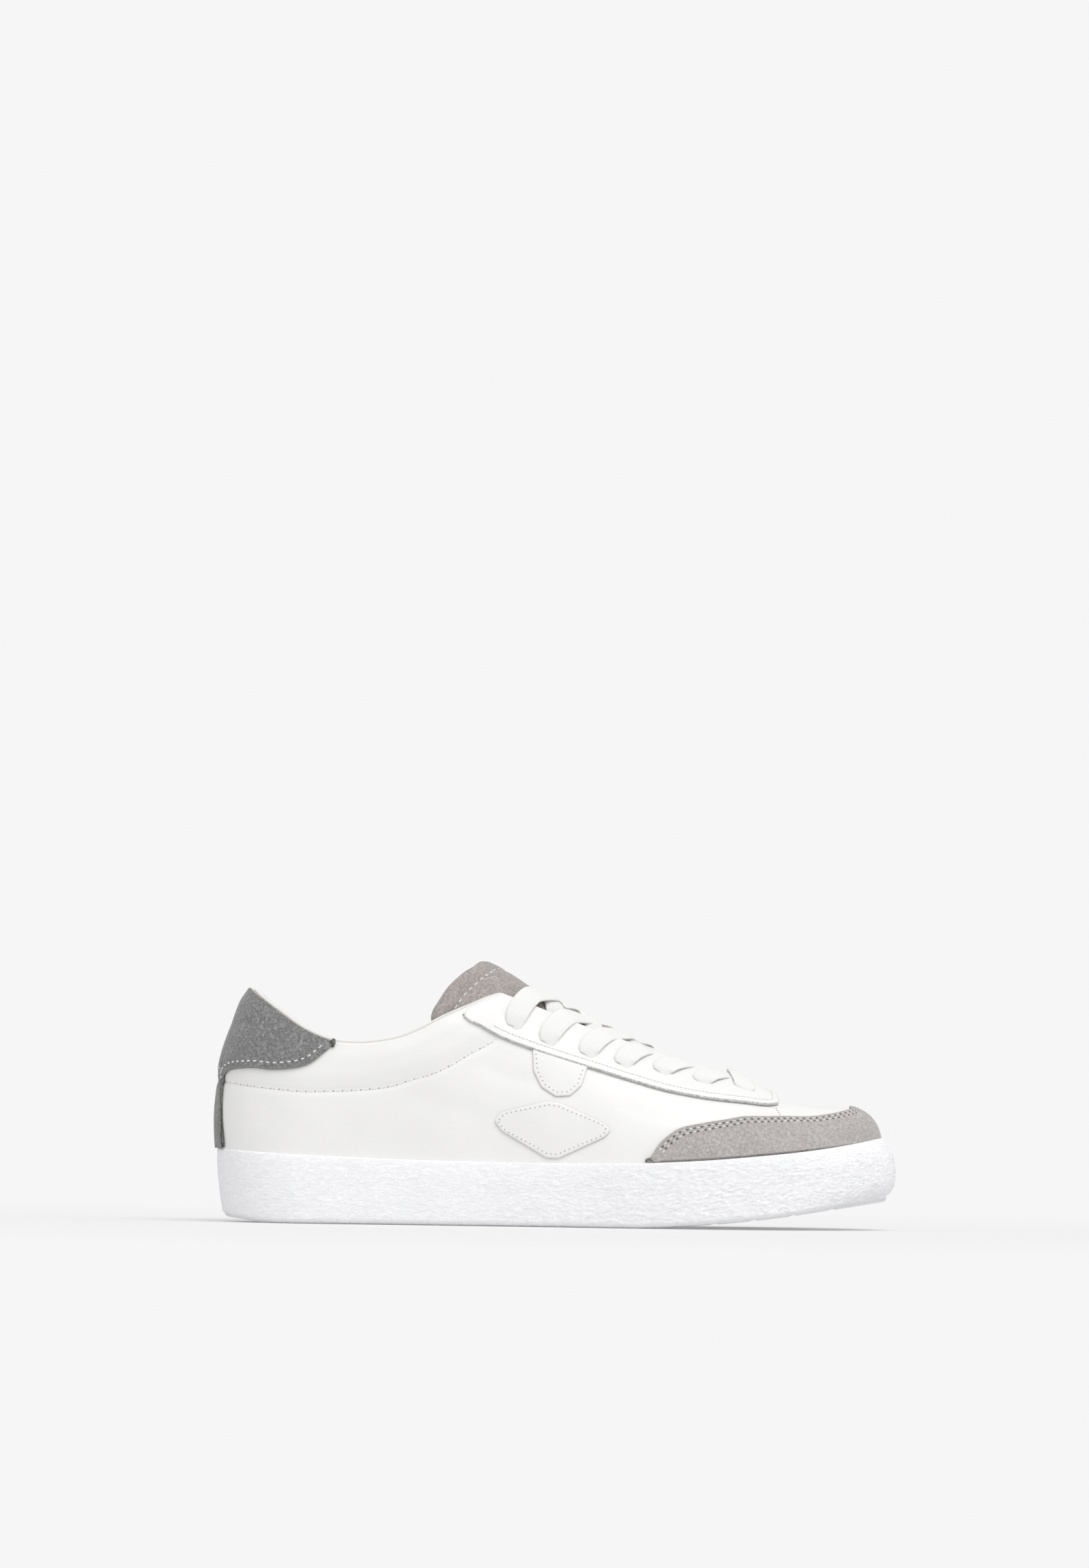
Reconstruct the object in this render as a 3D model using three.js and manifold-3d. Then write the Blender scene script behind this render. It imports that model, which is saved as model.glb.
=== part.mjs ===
// A low court sneaker for the right foot, in millimetres: +X to the toe, +Y to the inner side, +Z up.
// The origin is on the floor under the middle of the sole.
import * as THREE from "three";
import { mergeVertices } from "three/addons/utils/BufferGeometryUtils.js";
import Module from "manifold-3d";

const wasm = await Module();
wasm.setup();

// Driving sizes of the sole
const soleLength = 285;
const ballWidth = 98.5;
const heelRadius = 36;
const toeRadius = 31;
const soleHeight = 27;
const heelBed = 16;
const toeSpring = 12.8;
const heelTaper = 3.2;
const sideTaper = 1.5;
const toeTaper = 5.8;
const outsoleThickness = 3.5;
const outsoleStep = 1.2;
const outsoleInset = 4;
const grooveWidth = 2.6;
const grooveDepth = 1.6;
const grooveCount = 15;
const insoleThickness = 4;

// Driving sizes of the upper
const instepHeight = 100;
const heelLip = 1.6;
const sideLip = 3.4;
const toeLip = 6.4;
const coneBack = 60;
const coneFront = 58.5;
const wall = 2.2;
const throatGap = 18;
const eyeletRadius = 2.3;

// Pieces that lie on the upper or in its throat
const eyestayThickness = 1.8;
const suedeThickness = 1.6;
const patchThickness = 1.2;
const tongueThickness = 4.5;
const tongueBulge = 1.6;
const laceWidth = 8;
const laceThickness = 1.6;
const laceSag = 3.3;
const clearance = 0.3;

const columnsPerSide = 24;
const rowsUp = 11;

// The shoe from heel to toe. at is a share of the sole's length. half and shift are half the sole's width and
// its middle's place across, as shares of the ball width. top is the side's top line as a share of the sole
// height, under is the lift of the bottom as a share of the toe spring, and bed is the footbed over the bottom
// as a share of the heel's bed. round and wall shape the upper's section, and bulge is how far it swells.
const sections = [
  { at: 0.0, half: 0, shift: 0.0, top: 1.141, under: 0.22, bed: 1.0, round: 2.6, wall: 3.0, bulge: 2.3 },
  { at: 0.1, half: 0.348, shift: 0.002, top: 1.07, under: 0.0, bed: 0.99, round: 2.6, wall: 3.0, bulge: 1.8 },
  { at: 0.2, half: 0.364, shift: 0.0, top: 1.033, under: 0.0, bed: 0.96, round: 2.8, wall: 2.9, bulge: 1.0 },
  { at: 0.3, half: 0.36, shift: -0.008, top: 1.0, under: 0.0, bed: 0.91, round: 2.6, wall: 2.7, bulge: 0.8 },
  { at: 0.4, half: 0.364, shift: -0.02, top: 0.989, under: 0.0, bed: 0.84, round: 2.2, wall: 2.6, bulge: 0.6 },
  { at: 0.5, half: 0.389, shift: -0.03, top: 0.985, under: 0.0, bed: 0.76, round: 1.95, wall: 2.5, bulge: 0.4 },
  { at: 0.6, half: 0.441, shift: -0.028, top: 0.996, under: 0.0, bed: 0.7, round: 1.8, wall: 2.4, bulge: 0.2 },
  { at: 0.7, half: 0.487, shift: -0.012, top: 1.044, under: 0.11, bed: 0.66, round: 1.8, wall: 2.4, bulge: 0 },
  { at: 0.8, half: 0.482, shift: 0.015, top: 1.137, under: 0.33, bed: 0.62, round: 2.0, wall: 2.6, bulge: 0 },
  { at: 0.9, half: 0.394, shift: 0.042, top: 1.26, under: 0.66, bed: 0.58, round: 2.8, wall: 3.0, bulge: 0 },
  { at: 1.0, half: 0, shift: 0.065, top: 1.437, under: 1.0, bed: 0.56, round: 6.0, wall: 4.0, bulge: 0 },
];

// The top of the last over its middle line, as a share of the instep height, and its place across. Behind the
// throat it is the leg's line, which the collar cuts off.
const crestLine = [
  { at: 0.0, up: 1.22, across: 0.0 },
  { at: 0.3, up: 1.21, across: 0.0 },
  { at: 0.387, up: 1.112, across: 0.004 },
  { at: 0.444, up: 1.03, across: 0.008 },
  { at: 0.519, up: 0.914, across: 0.014 },
  { at: 0.606, up: 0.796, across: 0.02 },
  { at: 0.695, up: 0.696, across: 0.026 },
  { at: 0.763, up: 0.632, across: 0.03 },
  { at: 0.809, up: 0.57, across: 0.034 },
  { at: 0.844, up: 0.531, across: 0.038 },
  { at: 0.886, up: 0.519, across: 0.044 },
  { at: 0.95, up: 0.522, across: 0.056 },
  { at: 1.0, up: 0.515, across: 0.065 },
];

// How far the sole's side stands back from its outline, by share of its height, as shares of the tapers
const sidewall = [
  { level: 0.0, heel: 1.0, side: 1.0, toe: 0.62 },
  { level: 0.08, heel: 0.8, side: 0.3, toe: 0.2 },
  { level: 0.4, heel: 0.35, side: 0.0, toe: 0.0 },
  { level: 0.65, heel: 0.1, side: 0.0, toe: 0.1 },
  { level: 0.87, heel: 0.0, side: 0.2, toe: 0.52 },
  { level: 1.0, heel: 0.0, side: 0.6, toe: 1.0 },
];

// Half the throat's gap, as a share of the throat gap
const throatLine = [
  { at: 0.39, half: 1.08 },
  { at: 0.43, half: 1.04 },
  { at: 0.47, half: 1.0 },
  { at: 0.55, half: 0.88 },
  { at: 0.65, half: 0.72 },
  { at: 0.74, half: 0.55 },
  { at: 0.782, half: 0.38 },
  { at: 0.796, half: 0.2 },
  { at: 0.8, half: 0.0 },
];

// Side view outlines. up is a share of the way from the sole's top line to the crest line.
const collarLine = [
  { at: 0.0465, up: 0.742 },
  { at: 0.062, up: 0.701 },
  { at: 0.0818, up: 0.657 },
  { at: 0.0993, up: 0.62 },
  { at: 0.121, up: 0.575 },
  { at: 0.143, up: 0.541 },
  { at: 0.165, up: 0.517 },
  { at: 0.179, up: 0.508 },
  { at: 0.21, up: 0.507 },
  { at: 0.239, up: 0.518 },
  { at: 0.268, up: 0.539 },
  { at: 0.297, up: 0.577 },
  { at: 0.334, up: 0.655 },
  { at: 0.37, up: 0.748 },
  { at: 0.388, up: 0.8 },
  { at: 0.405, up: 0.847 },
  { at: 0.418, up: 0.885 },
];
const eyestayLine = [
  { at: 0.372, up: 0.785 },
  { at: 0.361, up: 0.738 },
  { at: 0.362, up: 0.7 },
  { at: 0.372, up: 0.668 },
  { at: 0.4155, up: 0.63 },
  { at: 0.464, up: 0.632 },
  { at: 0.549, up: 0.645 },
  { at: 0.613, up: 0.658 },
  { at: 0.663, up: 0.668 },
  { at: 0.728, up: 0.669 },
  { at: 0.769, up: 0.672 },
  { at: 0.808, up: 0.735 },
  { at: 0.822, up: 0.84 },
  { at: 0.8235, up: 0.95 },
  { at: 0.8225, up: 1.25 },
];
const eyelets = [
  { at: 0.435, up: 0.782 },
  { at: 0.484, up: 0.762 },
  { at: 0.542, up: 0.771 },
  { at: 0.594, up: 0.784 },
  { at: 0.65, up: 0.815 },
  { at: 0.709, up: 0.829 },
  { at: 0.7716, up: 0.886 },
];
const guardLine = [
  { at: 0.632, up: 0.0 },
  { at: 0.647, up: 0.15 },
  { at: 0.6625, up: 0.243 },
  { at: 0.68, up: 0.32 },
  { at: 0.701, up: 0.364 },
  { at: 0.742, up: 0.44 },
  { at: 0.777, up: 0.53 },
  { at: 0.818, up: 0.63 },
  { at: 0.8565, up: 0.705 },
  { at: 0.89, up: 0.785 },
  { at: 0.92, up: 0.88 },
  { at: 0.93, up: 1.2 },
];
const heelTabLine = [
  { at: 0.181, up: 0.6 },
  { at: 0.181, up: 0.508 },
  { at: 0.17, up: 0.49 },
  { at: 0.156, up: 0.453 },
  { at: 0.136, up: 0.408 },
  { at: 0.113, up: 0.39 },
  { at: 0.085, up: 0.382 },
  { at: 0.056, up: 0.386 },
  { at: 0.027, up: 0.384 },
  { at: 0.013, up: 0.365 },
  { at: 0.0066, up: 0.32 },
  { at: 0.0057, up: 0.228 },
  { at: 0.0078, up: 0.14 },
  { at: 0.0155, up: 0.0 },
];
const tongueLine = [
  { at: 0.318, up: 0.6 },
  { at: 0.3135, up: 0.65 },
  { at: 0.317, up: 0.69 },
  { at: 0.324, up: 0.73 },
  { at: 0.342, up: 0.83 },
  { at: 0.362, up: 0.915 },
  { at: 0.3845, up: 1.02 },
  { at: 0.41, up: 1.3 },
  { at: 0.77, up: 1.3 },
  { at: 0.775, up: 0.86 },
  { at: 0.7, up: 0.7 },
  { at: 0.55, up: 0.56 },
  { at: 0.42, up: 0.5 },
];
// A plain tab hangs from the eyestay on the outer side, over a plain lozenge
const tabLine = [
  { at: 0.462, up: 0.66 },
  { at: 0.464, up: 0.52 },
  { at: 0.476, up: 0.44 },
  { at: 0.497, up: 0.405 },
  { at: 0.518, up: 0.43 },
  { at: 0.534, up: 0.51 },
  { at: 0.545, up: 0.68 },
];
const lozengeLine = [
  { at: 0.408, up: 0.21 },
  { at: 0.418, up: 0.165 },
  { at: 0.485, up: 0.03 },
  { at: 0.503, up: 0.03 },
  { at: 0.57, up: 0.19 },
  { at: 0.578, up: 0.24 },
  { at: 0.57, up: 0.28 },
  { at: 0.503, up: 0.37 },
  { at: 0.485, up: 0.365 },
  { at: 0.418, up: 0.255 },
];

// A column of a table at any station, as a smooth curve that never overshoots its rows
function smooth(rows, key, value, by = "at") {
  const last = rows.length - 1;
  if (value <= rows[0][by]) return rows[0][key];
  if (value >= rows[last][by]) return rows[last][key];
  let i = 0;
  while (rows[i + 1][by] < value) i += 1;
  const rise = (k) => (rows[k + 1][key] - rows[k][key]) / (rows[k + 1][by] - rows[k][by]);
  const tangent = (k) => {
    if (k === 0) return rise(0);
    if (k === last) return rise(last - 1);
    const before = rise(k - 1);
    const after = rise(k);
    return before * after <= 0 ? 0 : (2 * before * after) / (before + after);
  };
  const width = rows[i + 1][by] - rows[i][by];
  const t = (value - rows[i][by]) / width;
  const a = tangent(i) * width;
  const b = tangent(i + 1) * width;
  const y0 = rows[i][key];
  const y1 = rows[i + 1][key];
  return y0 + a * t + (3 * (y1 - y0) - 2 * a - b) * t * t + (2 * (y0 - y1) + a + b) * t * t * t;
}

const ease = (from, to, value) => THREE.MathUtils.smoothstep(value, from, to);
const stationX = (at) => (at - 0.5) * soleLength;
const stationAt = (x) => x / soleLength + 0.5;
const soleBottom = (at) => smooth(sections, "under", at) * toeSpring;
const soleTop = (at) => smooth(sections, "top", at) * soleHeight;
const footbed = (at) => soleBottom(at) + smooth(sections, "bed", at) * heelBed;
const crestHeight = (at) => smooth(crestLine, "up", at) * instepHeight;
const crestAcross = (at) => smooth(crestLine, "across", at) * ballWidth;

// The half widths divided by a circle's own, so that both ends of the outline come out round
const envelope = sections.map(({ at, half }) => {
  if (at === 0) return { at, reach: Math.sqrt((heelRadius * soleLength) / 2) };
  if (at === 1) return { at, reach: Math.sqrt((toeRadius * soleLength) / 2) };
  return { at, reach: (half * ballWidth) / (2 * Math.sqrt(at * (1 - at))) };
});

// turn runs from the heel, at 0, along the outer side to the toe, at pi, and back along the inner side
const turnAt = (turn) => (1 - Math.cos(turn)) / 2;

function outline(turn, inset = 0) {
  const place = (angle) => {
    const at = turnAt(angle);
    const y = smooth(sections, "shift", at) * ballWidth - smooth(envelope, "reach", at) * Math.sin(angle);
    return new THREE.Vector2(stationX(at), y);
  };
  const step = 0.01;
  const along = place(turn + step).sub(place(turn - step)).normalize();
  return place(turn).add(new THREE.Vector2(-along.y, along.x).multiplyScalar(inset));
}

// A value that changes from the heel over the sides to the toe
function aroundShoe(at, heel, side, toe) {
  const atHeel = 1 - ease(0, 0.16, at);
  const atToe = ease(0.8, 1, at);
  return side + (heel - side) * atHeel + (toe - side) * atToe;
}

// A point of the last's surface: rise goes from the feather edge, at 0, to the crest, at half pi
function lastPoint(turn, rise) {
  const at = turnAt(turn);
  const base = outline(turn, aroundShoe(at, heelLip, sideLip, toeLip));
  const spineX = THREE.MathUtils.lerp(stationX(0) + coneBack, stationX(1) - coneFront, at);
  const spineY = crestAcross(stationAt(spineX));
  const in_ = 1 - Math.pow(Math.max(Math.cos(rise), 0), 2 / smooth(sections, "round", at));
  const up = Math.pow(Math.sin(rise), 2 / smooth(sections, "wall", at));
  const swell = smooth(sections, "bulge", at) * Math.sin(Math.PI * Math.min(1, up / 0.62));
  const outward = new THREE.Vector2(base.x - spineX, base.y - spineY).normalize().multiplyScalar(swell);
  const x = THREE.MathUtils.lerp(base.x, spineX, in_) + outward.x;
  const y = THREE.MathUtils.lerp(base.y, spineY, in_) + outward.y;
  const floor = footbed(at);
  return new THREE.Vector3(x, y, floor + (crestHeight(stationAt(x)) - floor) * up);
}

function lastNormal(turn, rise) {
  const step = 0.02;
  const r = THREE.MathUtils.clamp(rise, 2 * step, Math.PI / 2 - 3 * step);
  const around = lastPoint(turn + step, r).sub(lastPoint(turn - step, r));
  const upward = lastPoint(turn, r + step).sub(lastPoint(turn, r - step));
  return around.cross(upward).normalize();
}

// The surface moved outwards by grow. On the crest both sides share one point.
function grownPoint(turn, rise, grow) {
  const point = lastPoint(turn, rise);
  if (rise < Math.PI / 2 - 1e-6) return point.addScaledVector(lastNormal(turn, rise), grow);
  const at = stationAt(point.x);
  const step = 0.01;
  const slope = (crestHeight(at + step) - crestHeight(at - step)) / (2 * step * soleLength);
  return point.addScaledVector(new THREE.Vector3(-slope, 0, 1).normalize(), grow);
}

// Turns triangles of points into a solid, whichever way round they came
function solidOf(triangles) {
  const positions = new Float32Array(triangles.flatMap((p) => [p.x, p.y, p.z]));
  const loose = new THREE.BufferGeometry().setAttribute("position", new THREE.BufferAttribute(positions, 3));
  const merged = mergeVertices(loose, 1e-4);
  const index = Array.from(merged.index.array);
  const kept = [];
  for (let i = 0; i < index.length; i += 3) {
    const [a, b, c] = index.slice(i, i + 3);
    if (a !== b && b !== c && c !== a) kept.push([a, b, c]);
  }
  const vertProperties = merged.attributes.position.array;
  const build = (faces) => {
    const triVerts = new Uint32Array(faces.flat());
    return new wasm.Manifold(new wasm.Mesh({ numProp: 3, vertProperties, triVerts }));
  };
  const made = build(kept);
  return made.volume() > 0 ? made : build(kept.map(([a, b, c]) => [a, c, b]));
}

// A closed solid from columns of points that stand side by side in a loop, shut flat across both ends
function columnSolid(columns) {
  const count = columns.length;
  const half = count / 2;
  const top = columns[0].length - 1;
  const triangles = [];
  const quad = (a, b, c, d) => triangles.push(a, b, c, a, c, d);
  for (let i = 0; i < count; i += 1) {
    const here = columns[i];
    const next = columns[(i + 1) % count];
    for (let j = 0; j < top; j += 1) quad(here[j], next[j], next[j + 1], here[j + 1]);
  }
  for (let i = 0; i < half; i += 1) {
    const back = columns[(count - i) % count];
    const backNext = columns[count - i - 1];
    quad(columns[i + 1][0], columns[i][0], back[0], backNext[0]);
    quad(columns[i][top], columns[i + 1][top], backNext[top], back[top]);
  }
  return solidOf(triangles);
}

// Columns stand closer together at the heel and toe than a plain circle's would
function columnTurns() {
  const turns = [];
  for (let i = 0; i < 2 * columnsPerSide; i += 1) {
    const t = i / columnsPerSide;
    turns.push(Math.PI * (t + (0.35 * Math.sin(2 * Math.PI * t)) / (2 * Math.PI)));
  }
  return turns;
}

// Rows that stand evenly along a column, from the feather edge to the crest
function columnRises(turn) {
  const samples = 120;
  const riseOf = (i) => (Math.PI / 2) * (1 - Math.pow(1 - i / samples, 2.5));
  const run = [0];
  for (let i = 1; i <= samples; i += 1) {
    run.push(run[i - 1] + lastPoint(turn, riseOf(i)).distanceTo(lastPoint(turn, riseOf(i - 1))));
  }
  const rises = [];
  for (let j = 0; j <= rowsUp; j += 1) {
    const wanted = (run[samples] * j) / rowsUp;
    rises.push(riseOf(Math.max(0, run.findIndex((length) => length >= wanted - 1e-9))));
  }
  return rises;
}

// The whole last grown by a distance, or by a function of turn and rise, with its foot lowered by drop
function form(grow, drop = 0) {
  const amount = typeof grow === "function" ? grow : () => grow;
  const columns = columnTurns().map((turn) => {
    const foot = grownPoint(turn, 0, amount(turn, 0));
    const column = [new THREE.Vector3(foot.x, foot.y, footbed(turnAt(turn)) - drop)];
    for (const rise of columnRises(turn).slice(drop > 0 ? 0 : 1)) {
      column.push(grownPoint(turn, rise, amount(turn, rise)));
    }
    return column;
  });
  return columnSolid(columns);
}

// An outline in the side view, pushed through the shoe from one side to the other
function sideCutter(points, fromY = -ballWidth, toY = ballWidth) {
  const shape = new THREE.Shape(points.map(([x, z]) => new THREE.Vector2(x, z)));
  const block = new THREE.ExtrudeGeometry(shape, { depth: toY - fromY, bevelEnabled: false });
  block.rotateX(Math.PI / 2);
  block.translate(0, toY, 0);
  return geometrySolid(block);
}

function geometrySolid(geometry) {
  const flat = geometry.index ? geometry.toNonIndexed() : geometry;
  const p = flat.attributes.position;
  const triangles = [];
  for (let i = 0; i < p.count; i += 1) triangles.push(new THREE.Vector3().fromBufferAttribute(p, i));
  return solidOf(triangles);
}

// The side view's point of a row: its height lies between the sole's top line and the crest
function sidePoint({ at, up }) {
  const low = soleTop(at);
  return [stationX(at), low + (crestHeight(at) - low) * up];
}

// The sole's top edge from one station to another, in the side view, a little above the sole
function overSole(from, to, count = 14) {
  const points = [];
  const top = sidewall[sidewall.length - 1];
  for (let i = 0; i <= count; i += 1) {
    const at = from + ((to - from) * i) / count;
    const inset = aroundShoe(at, top.heel * heelTaper, top.side * sideTaper, top.toe * toeTaper);
    points.push([outline(Math.acos(1 - 2 * at), inset).x, soleTop(at) + clearance]);
  }
  return points;
}

// Where the last's surface has this place in the side view, on the outer side (-1) or inner side (1)
function locate(x, z, side) {
  const riseFor = (turn) => bisect((rise) => lastPoint(turn, rise).z - z, 0.001, Math.PI / 2);
  const turnFor = (angle) => (side < 0 ? angle : 2 * Math.PI - angle);
  const angle = bisect((a) => lastPoint(turnFor(a), riseFor(turnFor(a))).x - x, 0.05, Math.PI - 0.05);
  return { turn: turnFor(angle), rise: riseFor(turnFor(angle)) };
}

// Where the last's surface has this place in the top view
function locateFromTop(x, y) {
  const side = y < crestAcross(stationAt(x)) ? -1 : 1;
  const turnFor = (angle) => (side < 0 ? angle : 2 * Math.PI - angle);
  const riseFor = (turn) => bisect((rise) => side * (y - lastPoint(turn, rise).y), 0.001, Math.PI / 2);
  const angle = bisect((a) => lastPoint(turnFor(a), riseFor(turnFor(a))).x - x, 0.05, Math.PI - 0.05);
  return { turn: turnFor(angle), rise: riseFor(turnFor(angle)) };
}

function bisect(test, low, high) {
  let [a, b] = [low, high];
  for (let i = 0; i < 40; i += 1) {
    const middle = (a + b) / 2;
    if (test(middle) < 0) a = middle;
    else b = middle;
  }
  return (a + b) / 2;
}

const sky = 1.6 * instepHeight;

// What the collar and the throat leave open. more moves the cut back into the upper.
function openingCutter(more = 0) {
  const collar = collarLine.map(sidePoint).map(([x, z]) => [x, z - more]);
  const [firstX, firstZ] = collar[0];
  const [lastX] = collar[collar.length - 1];
  const around = [[firstX - 2 * heelRadius, firstZ], ...collar, [lastX, sky], [firstX - 2 * heelRadius, sky]];
  return sideCutter(around).add(throatCutter(more));
}

function throatCutter(more = 0) {
  const edge = (side) =>
    throatLine.map(({ at, half }) => {
      const end = half === 0 ? more : 0;
      return new THREE.Vector2(stationX(at) + end, crestAcross(at) + side * (half * throatGap + (half ? more : 0)));
    });
  const shape = new THREE.Shape([...edge(-1), ...edge(1).reverse().slice(1)]);
  return geometrySolid(new THREE.ExtrudeGeometry(shape, { depth: sky, bevelEnabled: false }));
}

function makeCupsole() {
  const columns = columnTurns().map((turn) => {
    const at = turnAt(turn);
    return sidewall.map(({ level, heel, side, toe }) => {
      const inset = aroundShoe(at, heel * heelTaper, side * sideTaper, toe * toeTaper);
      const place = outline(turn, inset);
      const low = soleBottom(at) + outsoleStep;
      return new THREE.Vector3(place.x, place.y, low + (soleTop(at) - low) * level);
    });
  });
  const recess = outsolePlate(outsoleInset - clearance, -toeSpring, outsoleThickness + clearance);
  return columnSolid(columns).subtract(recess).subtract(form(clearance, clearance));
}

// A plate that follows the sole's bottom, from one height over it to another
function outsolePlate(inset, from, to) {
  const columns = columnTurns().map((turn) => {
    const at = turnAt(turn);
    const place = outline(turn, inset);
    return [from, to].map((z) => new THREE.Vector3(place.x, place.y, soleBottom(at) + z));
  });
  return columnSolid(columns);
}

function makeOutsole() {
  let plate = outsolePlate(outsoleInset, 0, outsoleThickness);
  for (let i = 0; i < grooveCount; i += 1) {
    const at = 0.07 + (0.86 * (i + 0.5)) / grooveCount;
    const groove = new THREE.BoxGeometry(grooveWidth, 2 * ballWidth, 2 * grooveDepth);
    groove.translate(stationX(at), 0, soleBottom(at));
    plate = plate.subtract(geometrySolid(groove));
  }
  return plate;
}

function makeInsole() {
  const columns = columnTurns().map((turn) => {
    const edge = grownPoint(turn, 0, -wall - 4 * clearance);
    const low = footbed(turnAt(turn)) + clearance;
    return [low, low + insoleThickness].map((z) => new THREE.Vector3(edge.x, edge.y, z));
  });
  return columnSolid(columns);
}

function eyeletCutter() {
  const cutters = eyelets.flatMap((row) => {
    const [x, z] = sidePoint(row);
    return [-1, 1].map((side) => {
      const { turn, rise } = locate(x, z, side);
      const pin = new THREE.CylinderGeometry(eyeletRadius, eyeletRadius, 6 * wall, 8);
      const lean = new THREE.Quaternion().setFromUnitVectors(new THREE.Vector3(0, 1, 0), lastNormal(turn, rise));
      pin.applyQuaternion(lean);
      const middle = lastPoint(turn, rise);
      pin.translate(middle.x, middle.y, middle.z);
      return geometrySolid(pin);
    });
  });
  return cutters.reduce((all, one) => all.add(one));
}

const makeUpper = () => form(0).subtract(form(-wall, heelBed)).subtract(openingCutter()).subtract(eyeletCutter());

// A layer on the upper, of one thickness, inside an outline of the side view
function layer(thickness, cutter) {
  return form(clearance + thickness).subtract(form(clearance, heelBed)).intersect(cutter);
}

function makeEyestay() {
  const edge = eyestayLine.map(sidePoint);
  const above = [...edge, [edge[edge.length - 1][0], sky], [edge[0][0], sky]];
  return layer(eyestayThickness, sideCutter(above)).subtract(openingCutter(clearance)).subtract(eyeletCutter());
}

function makeToeGuard() {
  const edge = guardLine.map(sidePoint);
  const front = stationX(1.02);
  const corner = [front, soleTop(1) + clearance];
  const region = [...edge.slice(1), [front, edge[edge.length - 1][1]], corner, ...overSole(1, guardLine[0].at)];
  return layer(suedeThickness, sideCutter(region));
}

function makeHeelTab() {
  const edge = heelTabLine.map(sidePoint);
  const back = stationX(-0.03);
  const foot = [...overSole(heelTabLine[13].at, 0, 3), [back, soleTop(0) + clearance]];
  const region = [...edge.slice(0, -1), ...foot, [back, sky], [edge[0][0], sky]];
  return layer(suedeThickness, sideCutter(region)).subtract(openingCutter(0));
}

// The tongue lies inside the upper and rises into the throat's gap
function makeTongue() {
  const rises = (turn, rise) => {
    const point = lastPoint(turn, rise);
    const at = stationAt(point.x);
    const gap = smooth(throatLine, "half", at) * throatGap;
    const across = Math.abs(point.y - crestAcross(at));
    const open = ease(0, 0.4 * throatGap, gap);
    return -wall - clearance + tongueBulge * open * (1 - ease(0, 0.75 * gap, across));
  };
  const outer = form(rises);
  const inner = form((turn, rise) => rises(turn, rise) - tongueThickness, heelBed);
  return outer.subtract(inner).intersect(sideCutter(tongueLine.map(sidePoint)));
}

function makePatch(line) {
  const eyestay = sideCutter([...eyestayLine.map(sidePoint), [stationX(0.82), sky], [stationX(0.372), sky]]);
  const piece = layer(patchThickness, sideCutter(line.map(sidePoint), -ballWidth, 0));
  return piece.subtract(eyestay);
}

// A flat bar of lace between two places of the top view. It lies over the eyestay and dips, past the middle
// line, to the throat's edge on the side it dips to.
function laceBar(from, to, dipSide) {
  const over = 4 * clearance + eyestayThickness + laceThickness / 2;
  const under = laceThickness / 2 - wall;
  const steps = 6;
  const spine = [];
  for (let i = 0; i <= steps; i += 1) {
    const x = THREE.MathUtils.lerp(from[0], to[0], i / steps);
    const y = THREE.MathUtils.lerp(from[1], to[1], i / steps);
    const gap = smooth(throatLine, "half", stationAt(x)) * throatGap;
    const across = y - crestAcross(stationAt(x));
    const sag = laceSag * ease(0.5, 0.75, gap / throatGap) * (1 - Math.min(1, Math.abs(across) / gap));
    const dip = ease(0.2 * gap, 0.85 * gap, dipSide * across);
    const { turn, rise } = locateFromTop(x, y);
    const up = lastNormal(turn, rise);
    spine.push({ point: lastPoint(turn, rise).addScaledVector(up, THREE.MathUtils.lerp(over - sag, under, dip)), up });
  }
  const corners = [
    [-1, -1],
    [1, -1],
    [1, 1],
    [-1, 1],
  ];
  const columns = corners.map(([across, over]) =>
    spine.map(({ point, up }, i) => {
      const ahead = spine[Math.min(i + 1, steps)].point;
      const behind = spine[Math.max(i - 1, 0)].point;
      const sideways = ahead.clone().sub(behind).cross(up).normalize();
      return point
        .clone()
        .addScaledVector(sideways, (across * laceWidth) / 2)
        .addScaledVector(up, (over * laceThickness) / 2);
    }),
  );
  return columnSolid(columns);
}

// Top view place of an eyelet, and of the throat's edge beside it
function eyeletPlace(row, side) {
  const [x, z] = sidePoint(row);
  const { turn, rise } = locate(x, z, side);
  const point = lastPoint(turn, rise);
  return [point.x, point.y];
}

function edgePlace(row, side) {
  const at = row.at - (0.8 * laceWidth) / soleLength;
  const gap = smooth(throatLine, "half", at) * throatGap - 2 * laceThickness;
  return [stationX(at), crestAcross(at) + side * gap];
}

function makeLaceCrossing(index) {
  const bars = [-1, 1].map((side) => {
    const from = eyeletPlace(eyelets[index], side);
    return laceBar(from, edgePlace(eyelets[index + 1], -side), -side);
  });
  return bars[0].add(bars[1]);
}

function makeLaceBar() {
  const row = eyelets[eyelets.length - 1];
  return laceBar(eyeletPlace(row, -1), eyeletPlace(row, 1), 0);
}

function finish(name, solid, material) {
  const mesh = solid.getMesh();
  const geometry = new THREE.BufferGeometry();
  geometry.setAttribute("position", new THREE.BufferAttribute(new Float32Array(mesh.vertProperties), 3));
  geometry.setIndex(Array.from(mesh.triVerts));
  geometry.computeVertexNormals();
  const made = new THREE.Mesh(geometry, material);
  made.name = name;
  return made;
}

const paint = (color, roughness) => new THREE.MeshStandardMaterial({ color, roughness, metalness: 0 });
const whiteRubber = paint(0xf1f1f4, 0.7);
const whiteLeather = paint(0xf0f0ee, 0.5);
const greySuede = paint(0xa8a3a1, 0.95);
const darkSuede = paint(0x7f8283, 0.95);
const creamLining = paint(0xeeebe4, 0.85);
const whiteCotton = paint(0xf3f3f1, 0.9);

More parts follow.
